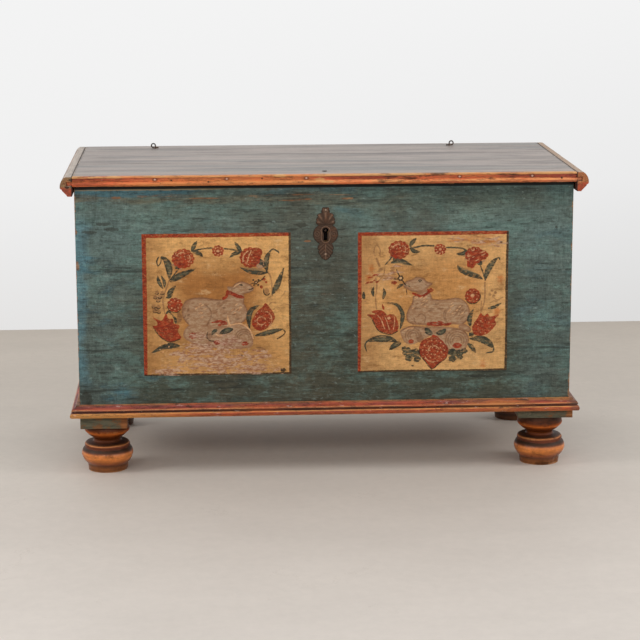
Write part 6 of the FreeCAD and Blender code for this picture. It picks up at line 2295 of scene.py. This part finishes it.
@dataclass(frozen=True)
class Escutcheon:
    """The iron plate round the keyhole, its shell, ears and lobes chased in relief."""

    width: float = 0.0615
    height: float = 0.129
    bottom: float = 0.526
    face: float = FRONT_FACE
    base: float = 1.35 * MM
    relief: float = 1.3 * MM
    rim: float = 0.7 * MM
    key_z: float = 0.598
    hole_radius: float = 7.5 * MM
    slot_half: float = 5 * MM
    slot_length: float = 26 * MM
    rows: int = 230
    columns: int = 34
    nail_shares: Point = (0.115, 0.952)
    outline: tuple[Step, ...] = (
        (0, 0), ((0.48, 0.10), (0.62, 0.20)), ((0.60, 0.27), (0.44, 0.32)), ((0.98, 0.50), (0.49, 0.665)),
        ((0.76, 0.71), (0.70, 0.79)), ((0.66, 0.85), (0.23, 0.884)), ((0.33, 0.915), (0.28, 0.955)),
        ((0.21, 1), (0, 1)))
    notches: tuple[float, ...] = (0.095, 0.19, 0.745, 0.825)
    notch_depth: float = 0.13
    notch_size: float = 0.014
    seat_radius: float = 3.7 * MM
    lobe_top: float = 0.33
    shell_foot: float = 0.665
    flutes: int = 11

    def build(self) -> bpy.types.Object:
        """Build and dress the plate.

        Returns:
            The plate.
        """
        heights, outer, inner = self._edges()
        across = np.linspace(0, 1, self.columns)
        halves = inner[:, None] + (outer - inner)[:, None] * across
        level = np.repeat(heights[:, None], self.columns, axis=1)
        points, faces = [], []
        for side in (-1, 1):
            x = side * halves
            front = self.face - self._chasing(x, level, outer[:, None])
            back = np.full(x.shape, self.face)
            start = len(points)
            for depth in (front, back):
                points += np.stack([x, depth, level], axis=-1).reshape(-1, 3).tolist()
            index = np.arange(x.size).reshape(x.shape) + start
            faces += squares(index)[:, ::side].tolist()
            faces += squares(index + x.size)[:, ::-side].tolist()
            for rim, turn in ((index[:, -1], side), (index[:, 0], -side), (index[-1, :], -side),
                              (index[0, :], side)):
                wall = np.stack([rim[:-1], rim[:-1] + x.size, rim[1:] + x.size, rim[1:]], axis=-1)
                faces += wall[:, ::turn].tolist()
        finish = ChasedIron().material()
        plate = add_piece("chased_escutcheon", points, faces, Body.CASE, Slot.BROWNED_IRON, finish)
        self._close(plate)
        depths = [(self.face - vertex.co.y) / (self.base + self.relief) for vertex in plate.data.vertices]
        carry(plate, "relief_share", depths)
        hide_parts("escutcheon")
        return plate

    def _edges(self) -> tuple[np.ndarray, np.ndarray, np.ndarray]:
        """Work out the rows of the plate.

        Returns:
            The rows' heights, half widths and the half widths of the keyhole in them.
        """
        line = np.array(drawn(self.outline, self.width / 2, self.height, 40))
        foot = self.key_z - self.slot_length
        heights = self.bottom + np.linspace(0, 1, self.rows) * self.height
        extra = [foot - 0.02 * MM, foot, self.key_z - self.hole_radius, self.key_z + self.hole_radius]
        heights = np.sort(np.append(heights, extra))
        runs = [np.linspace(a, b, 12, endpoint=False) for a, b in zip(line, line[1:])]
        dense = np.vstack([*runs, line[-1:]])
        outer = np.empty(len(heights))
        for k, height in enumerate(heights - self.bottom):
            near = np.abs(dense[:, 1] - height) < 0.3 * MM
            outer[k] = dense[near, 0].max()
        for notch in self.notches:
            share = (heights - self.bottom) / self.height
            outer *= 1 - self.notch_depth * np.exp(-((share - notch) / self.notch_size) ** 2)
        outer = np.maximum(outer, 0.3 * MM)
        round_part = np.sqrt(np.maximum(self.hole_radius ** 2 - (heights - self.key_z) ** 2, 0))
        slot = np.where((heights >= foot) & (heights < self.key_z), self.slot_half, 0)
        return heights, outer, np.maximum(round_part, slot)

    def _chasing(self, x: np.ndarray, z: np.ndarray, outer: np.ndarray) -> np.ndarray:
        """Work out how far the plate stands out.

        Args:
            x: places across.
            z: heights.
            outer: the half width at each height.

        Returns:
            Depths in front of the board.
        """
        share = (z - self.bottom) / self.height
        gap = np.minimum(outer - np.abs(x), self.height * np.minimum(share, 1 - share) * 0.8)
        raised = np.clip(gap / (2.6 * MM), 0, 1) ** 0.6
        above = z - (self.bottom + self.shell_foot * self.height)
        fan = 0.5 + 0.5 * np.cos(np.arctan2(x, above) * self.flutes)
        reach = np.hypot(x, above) / (0.28 * self.height)
        shell = np.where(share > self.shell_foot + 0.01, (0.35 + 0.65 * fan) * np.clip(reach * 2, 0, 1), 0)
        seats = [np.hypot(x, z - (self.bottom + nail * self.height)) for nail in self.nail_shares]
        boss = np.exp(-((seats[1] - 5.1 * MM) / (1.1 * MM)) ** 2)
        key = np.hypot(x, np.maximum(z - self.key_z, 0) + np.minimum(z - (self.key_z - 18 * MM), 0))
        collar = np.exp(-((key - 10.6 * MM) / (1.5 * MM)) ** 2)
        scroll_gap = np.hypot(np.abs(x) - 20.5 * MM, z - (self.bottom + 0.5 * self.height))
        scroll = 0.5 + 0.5 * np.cos(scroll_gap / (2.9 * MM) * math.pi)
        ears = np.where((share > self.lobe_top) & (share <= self.shell_foot),
                        0.25 + 0.75 * scroll * np.exp(-scroll_gap / (14 * MM)), 0)
        ridge = np.exp(-(x / (1.5 * MM)) ** 2) * np.clip((0.36 - share) * 14, 0, 1)
        leafy = 0.5 + 0.5 * np.cos((np.abs(x) * 0.9 + (z - self.bottom)) / (4.4 * MM) * math.pi)
        lobe = np.where(share <= self.lobe_top, 0.2 + 0.5 * leafy, 0)
        form = np.maximum.reduce([shell * 0.9, boss, collar, ears, lobe, ridge])
        form = form * np.clip((np.minimum(*seats) - self.seat_radius) / (0.5 * MM), 0, 1)
        beat = np.sin(x * 1900 + 2 * np.sin(z * 700)) * np.sin(z * 1700 + x * 500) * 0.06
        plain = self.rim + (self.base - self.rim) * raised
        return plain + self.relief * raised * np.clip(form * 0.94 + beat, 0, 1)

    def _close(self, plate: bpy.types.Object) -> None:
        """Join the two halves of the plate down its middle.

        Args:
            plate: the plate.
        """
        mesh = bmesh.new()
        mesh.from_mesh(plate.data)
        inside = [face for face in mesh.faces if all(abs(vertex.co.x) < 0.0001 * MM for vertex in face.verts)]
        bmesh.ops.delete(mesh, geom=inside, context="FACES_ONLY")
        bmesh.ops.remove_doubles(mesh, verts=mesh.verts, dist=0.001 * MM)
        bmesh.ops.recalc_face_normals(mesh, faces=mesh.faces)
        mesh.to_mesh(plate.data)
        mesh.free()


@dataclass
class Room:
    """The pale floor, the wall behind, the lamps and the camera."""

    wall_y: float = 1.47
    reach: float = 6.0
    lens: float = 115.34
    camera_place: Triple = (-0.2858, -5.15, 1.3804)
    yaw: float = math.radians(3.194)
    pitch: float = math.radians(-11.605)
    roll: float = math.radians(-0.169)
    ambient: float = 0.3

    def build(self) -> None:
        """Build all of it."""
        self._camera()
        self._backdrop()
        self._lamps()

    def _camera(self) -> None:
        """Place the camera where the photograph was taken from."""
        data = bpy.data.cameras.new("camera")
        data.lens = self.lens
        data.sensor_width = FILM_WIDTH
        camera = put("camera", data)
        look = Matrix.Rotation(-self.yaw, 4, "Z") @ Matrix.Rotation(math.pi / 2 + self.pitch, 4, "X")
        camera.matrix_world = (Matrix.Translation(self.camera_place) @ look
                               @ Matrix.Rotation(self.roll, 4, "Z"))
        bpy.context.scene.camera = camera

    def _sheet(self, name: str, path: Sequence[Point], material: bpy.types.Material) -> bpy.types.Object:
        """Build a wide sheet from its outline seen from the side.

        Args:
            name: the sheet's name.
            path: depths and heights along the outline.
            material: its finish.

        Returns:
            The sheet.
        """
        points = [(side * self.reach, y, z) for y, z in path for side in (-1, 1)]
        faces = [(2 * i, 2 * i + 1, 2 * i + 3, 2 * i + 2) for i in range(len(path) - 1)]
        mesh = bpy.data.meshes.new(name)
        mesh.from_pydata(points, [], faces)
        mesh.materials.append(material)
        sheet = put(name, mesh)
        return sheet

    def _backdrop(self) -> None:
        """Build the floor and the wall."""
        self._sheet("floor", ((-self.reach, 0), (self.reach, 0)), self._floor_paint())
        self._sheet("wall", ((self.wall_y, 0), (self.wall_y, self.reach)), self._wall_paint())

    def _floor_paint(self) -> bpy.types.Material:
        """Make the floor's pale matt finish, which is open from below.

        Returns:
            The finish.
        """
        g = Graph("floor")
        open_back = Value(g, g.node("ShaderNodeNewGeometry").outputs["Backfacing"])
        cloud = g.noise(3, detail=5)
        # painted shade: the floor is darker towards the back, with a darker band in front of the chest
        colour = g.ramp(((g.y + 2.2) / 3.6).held(), (0.0, "#d9d2cb"), (0.42, "#d0c7be"), (0.55, "#d2c9bf"),
                        (1.0, "#c8beb2"))
        blotch = g.noise(1.6, (1, 2.2, 1), detail=8, rough=0.66, seed=3)
        grit = g.noise(38, detail=6, rough=0.7, seed=4)
        colour = g.shade(colour, 1 + (cloud - 0.5) * 0.1 + (blotch - 0.5) * 0.16 + (grit - 0.5) * 0.14)
        line = abs(g.noise(1.3, detail=9, rough=0.7, seed=5, warp=0.4) - 0.5).rise(0.0022, 0.0006)
        colour = g.mix(line * blotch.rise(0.5, 0.6) * 0.3, colour, "#a89c90")
        return g.finish(colour, 0.6, specular=0.2, alpha=1 - open_back)

    def _wall_paint(self) -> bpy.types.Material:
        """Make the bright wall, which gives its light to the floor and is open from behind.

        Returns:
            The finish.
        """
        g = Graph("wall")
        # painted shade on the glowing wall: darker low down, and low down darker towards the right
        fall = (g.z / 1.2).held()
        colour = g.ramp(fall, (0.0, "#e4e3e2"), (0.4, "#f0f0f0"), (1.0, "#f4f4f4"))
        colour = g.shade(colour, 1 - (1 - fall) * (g.x * 0.05 + 0.02).held())
        glow = g.node("ShaderNodeEmission", None, {"Color": colour, "Strength": 1.0})
        behind = g.node("ShaderNodeNewGeometry").outputs["Backfacing"]
        open_back = g.node("ShaderNodeMixShader", None,
                           {0: behind, 1: glow.outputs[0], 2: g.node("ShaderNodeBsdfTransparent").outputs[0]})
        g.node("ShaderNodeOutputMaterial", None, {0: open_back.outputs[0]})
        return g.material

    def _lamps(self) -> None:
        """Hang the soft lamps and set the light of the room."""
        for name, place, target, size, power in (
                ("key_lamp", (-1.5, -3.4, 2.0), (0, 0, 0.3), (2.6, 0.7), 27),
                ("fill_lamp", (1.7, -3.4, 1.9), (0, 0, 0.3), (2.6, 0.7), 24),
                ("left_lamp", (-3.3, -1.1, 2.1), (0, 0, 0.3), (1.2, 1.2), 44),
                ("right_lamp", (3.3, -1.1, 2.1), (0, 0, 0.3), (1.2, 1.2), 44),
                ("top_lamp", (0.0, -0.2, 3.4), (0, 0, 0.0), (2.4, 2.4), 6)):
            data = bpy.data.lights.new(name, "AREA")
            data.shape = "RECTANGLE"
            data.size, data.size_y = size
            data.energy = power
            lamp = put(name, data)
            aim = (Vector(target) - Vector(place)).to_track_quat("-Z", "Y")
            lamp.matrix_world = Matrix.Translation(place) @ aim.to_matrix().to_4x4()
        self._world()

    def _world(self) -> None:
        """Light the room evenly and show a pale colour where nothing stands."""
        world = bpy.data.worlds.new("room_light")
        world.use_nodes = True
        tree = world.node_tree
        tree.nodes.clear()
        path = add_node(tree, "ShaderNodeLightPath")
        light = add_node(tree, "ShaderNodeBackground", None, {0: (1.0, 0.99, 0.98, 1.0), 1: self.ambient})
        pale = add_node(tree, "ShaderNodeBackground", None, {0: linear("#efefef")})
        seen = path.outputs["Is Camera Ray"]
        for name in ("Is Glossy Ray", "Is Transmission Ray"):
            either = add_node(tree, "ShaderNodeMath", {"operation": "MAXIMUM"},
                              {0: seen, 1: path.outputs[name]})
            seen = either.outputs[0]
        mixed = add_node(tree, "ShaderNodeMixShader", None,
                         {0: seen, 1: light.outputs[0], 2: pale.outputs[0]})
        add_node(tree, "ShaderNodeOutputWorld", None, {0: mixed.outputs[0]})
        bpy.context.scene.world = world


def dress_packed_nodes() -> None:
    """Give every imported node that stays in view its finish."""
    case = CasePaint().material()
    wood = BareWood().material()
    iron = Iron().material()
    browned = Iron("browned_iron", "#4a382b", "#6a4a30", 0.5, 0.4).material()
    lid = LidPaint().material()
    varnish = FootVarnish().material()
    strip = StripPaint("lid_strip_paint", LID_UNDER, LID_TOP, (
        (0.0, "#c98a50"), (0.07, "#c0683c"), (0.3, "#f6ac6c"), (0.46, "#e48e58"), (0.53, "#a54a32"),
        (0.76, "#b05a40"), (0.84, "#d8965c"), (1.0, "#d0925a")),
        wood="#dca56a", bright="#d96a40", golden="#df8c50", arrises=(0.0, 0.84, 1.0), wear=0.5, blond=0.8,
        pegs=((-0.3684, 0.7268), (-0.2796, 0.7226), (-0.1524, 0.729), (0.5664, 0.7235)),
        nails=tuple((x, 0.729) for x in (-0.4068, -0.2364, -0.0468, 0.3204, 0.4956)),
        pale=((0.004, 0.72), (-0.016, 0.7255), (-0.11, 0.735))).material()
    # the base moulding's pale stops at the arrises (0.365, 0.645) are wear and painted highlight; its dark
    # stops from 0.44 to 0.53 are painted shade in the groove
    base = StripPaint("base_moulding_paint", CASE_FOOT, 0.177, (
        (0.0, "#bb7a3e"), (0.08, "#a55a33"), (0.2, "#a04a2c"), (0.31, "#ab502f"), (0.365, "#e6a45e"),
        (0.4, "#85492d"), (0.44, "#5a3424"), (0.53, "#633a26"), (0.6, "#74422d"), (0.645, "#d8925c"),
        (0.7, "#98462f"), (0.8, "#844240"), (0.9, "#84493a"), (0.95, "#7c4e3a"), (1.0, "#b07048")),
        wood="#b88452", bright="#b0512f", arrises=(0.0, 0.365, 0.645, 1.0), wear=0.3, hollow=(0.49, 0.09),
        scuffs=0.6, faded=0.85, ends=0.6, gilt=0.7).material()
    block = BlockPaint().material()
    cleat = CleatPaint().material()
    finishes = {Slot.CASE_PAINT: case, Slot.MOULDING_PAINT: base, Slot.LID_PAINT: lid, Slot.CLEAT_WOOD: cleat,
                Slot.BLOCK_PAINT: block, Slot.FOOT_VARNISH: varnish, Slot.BARE_WOOD: wood,
                Slot.BROWNED_IRON: browned, Slot.IRON: iron}
    for name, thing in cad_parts.items():
        worn = thing.material_slots[0].material.name if thing.material_slots else Slot.IRON.value
        for slot, material in finishes.items():
            if worn.split(".")[0].endswith(slot.value):
                dress(name, strip if name == "lid_moulding_front" else material)
                break
        else:
            LOG.info("%s keeps %s", name, worn)


def main() -> None:
    """Dress the chest and build its room."""
    logging.basicConfig(level=logging.INFO, format="%(name)s: %(message)s")
    bpy.context.scene.view_settings.view_transform = "Standard"
    dress_packed_nodes()
    PaintedPanel("painted_panel_left", -0.442, -0.084, 0.246, 0.595, paint_left,
                 ("#d9a566", "#a16b38", "#a47442", "#8d5f35")).build()
    PaintedPanel("painted_panel_right", 0.078, 0.444, 0.247, 0.593, paint_right,
                 ("#cf9f66", "#bc864d", "#c89b64", "#9a6a3e")).build()
    Woodwork().build()
    Feet().build()
    Escutcheon().build()
    Room().build()


if __name__ == "__main__":
    main()
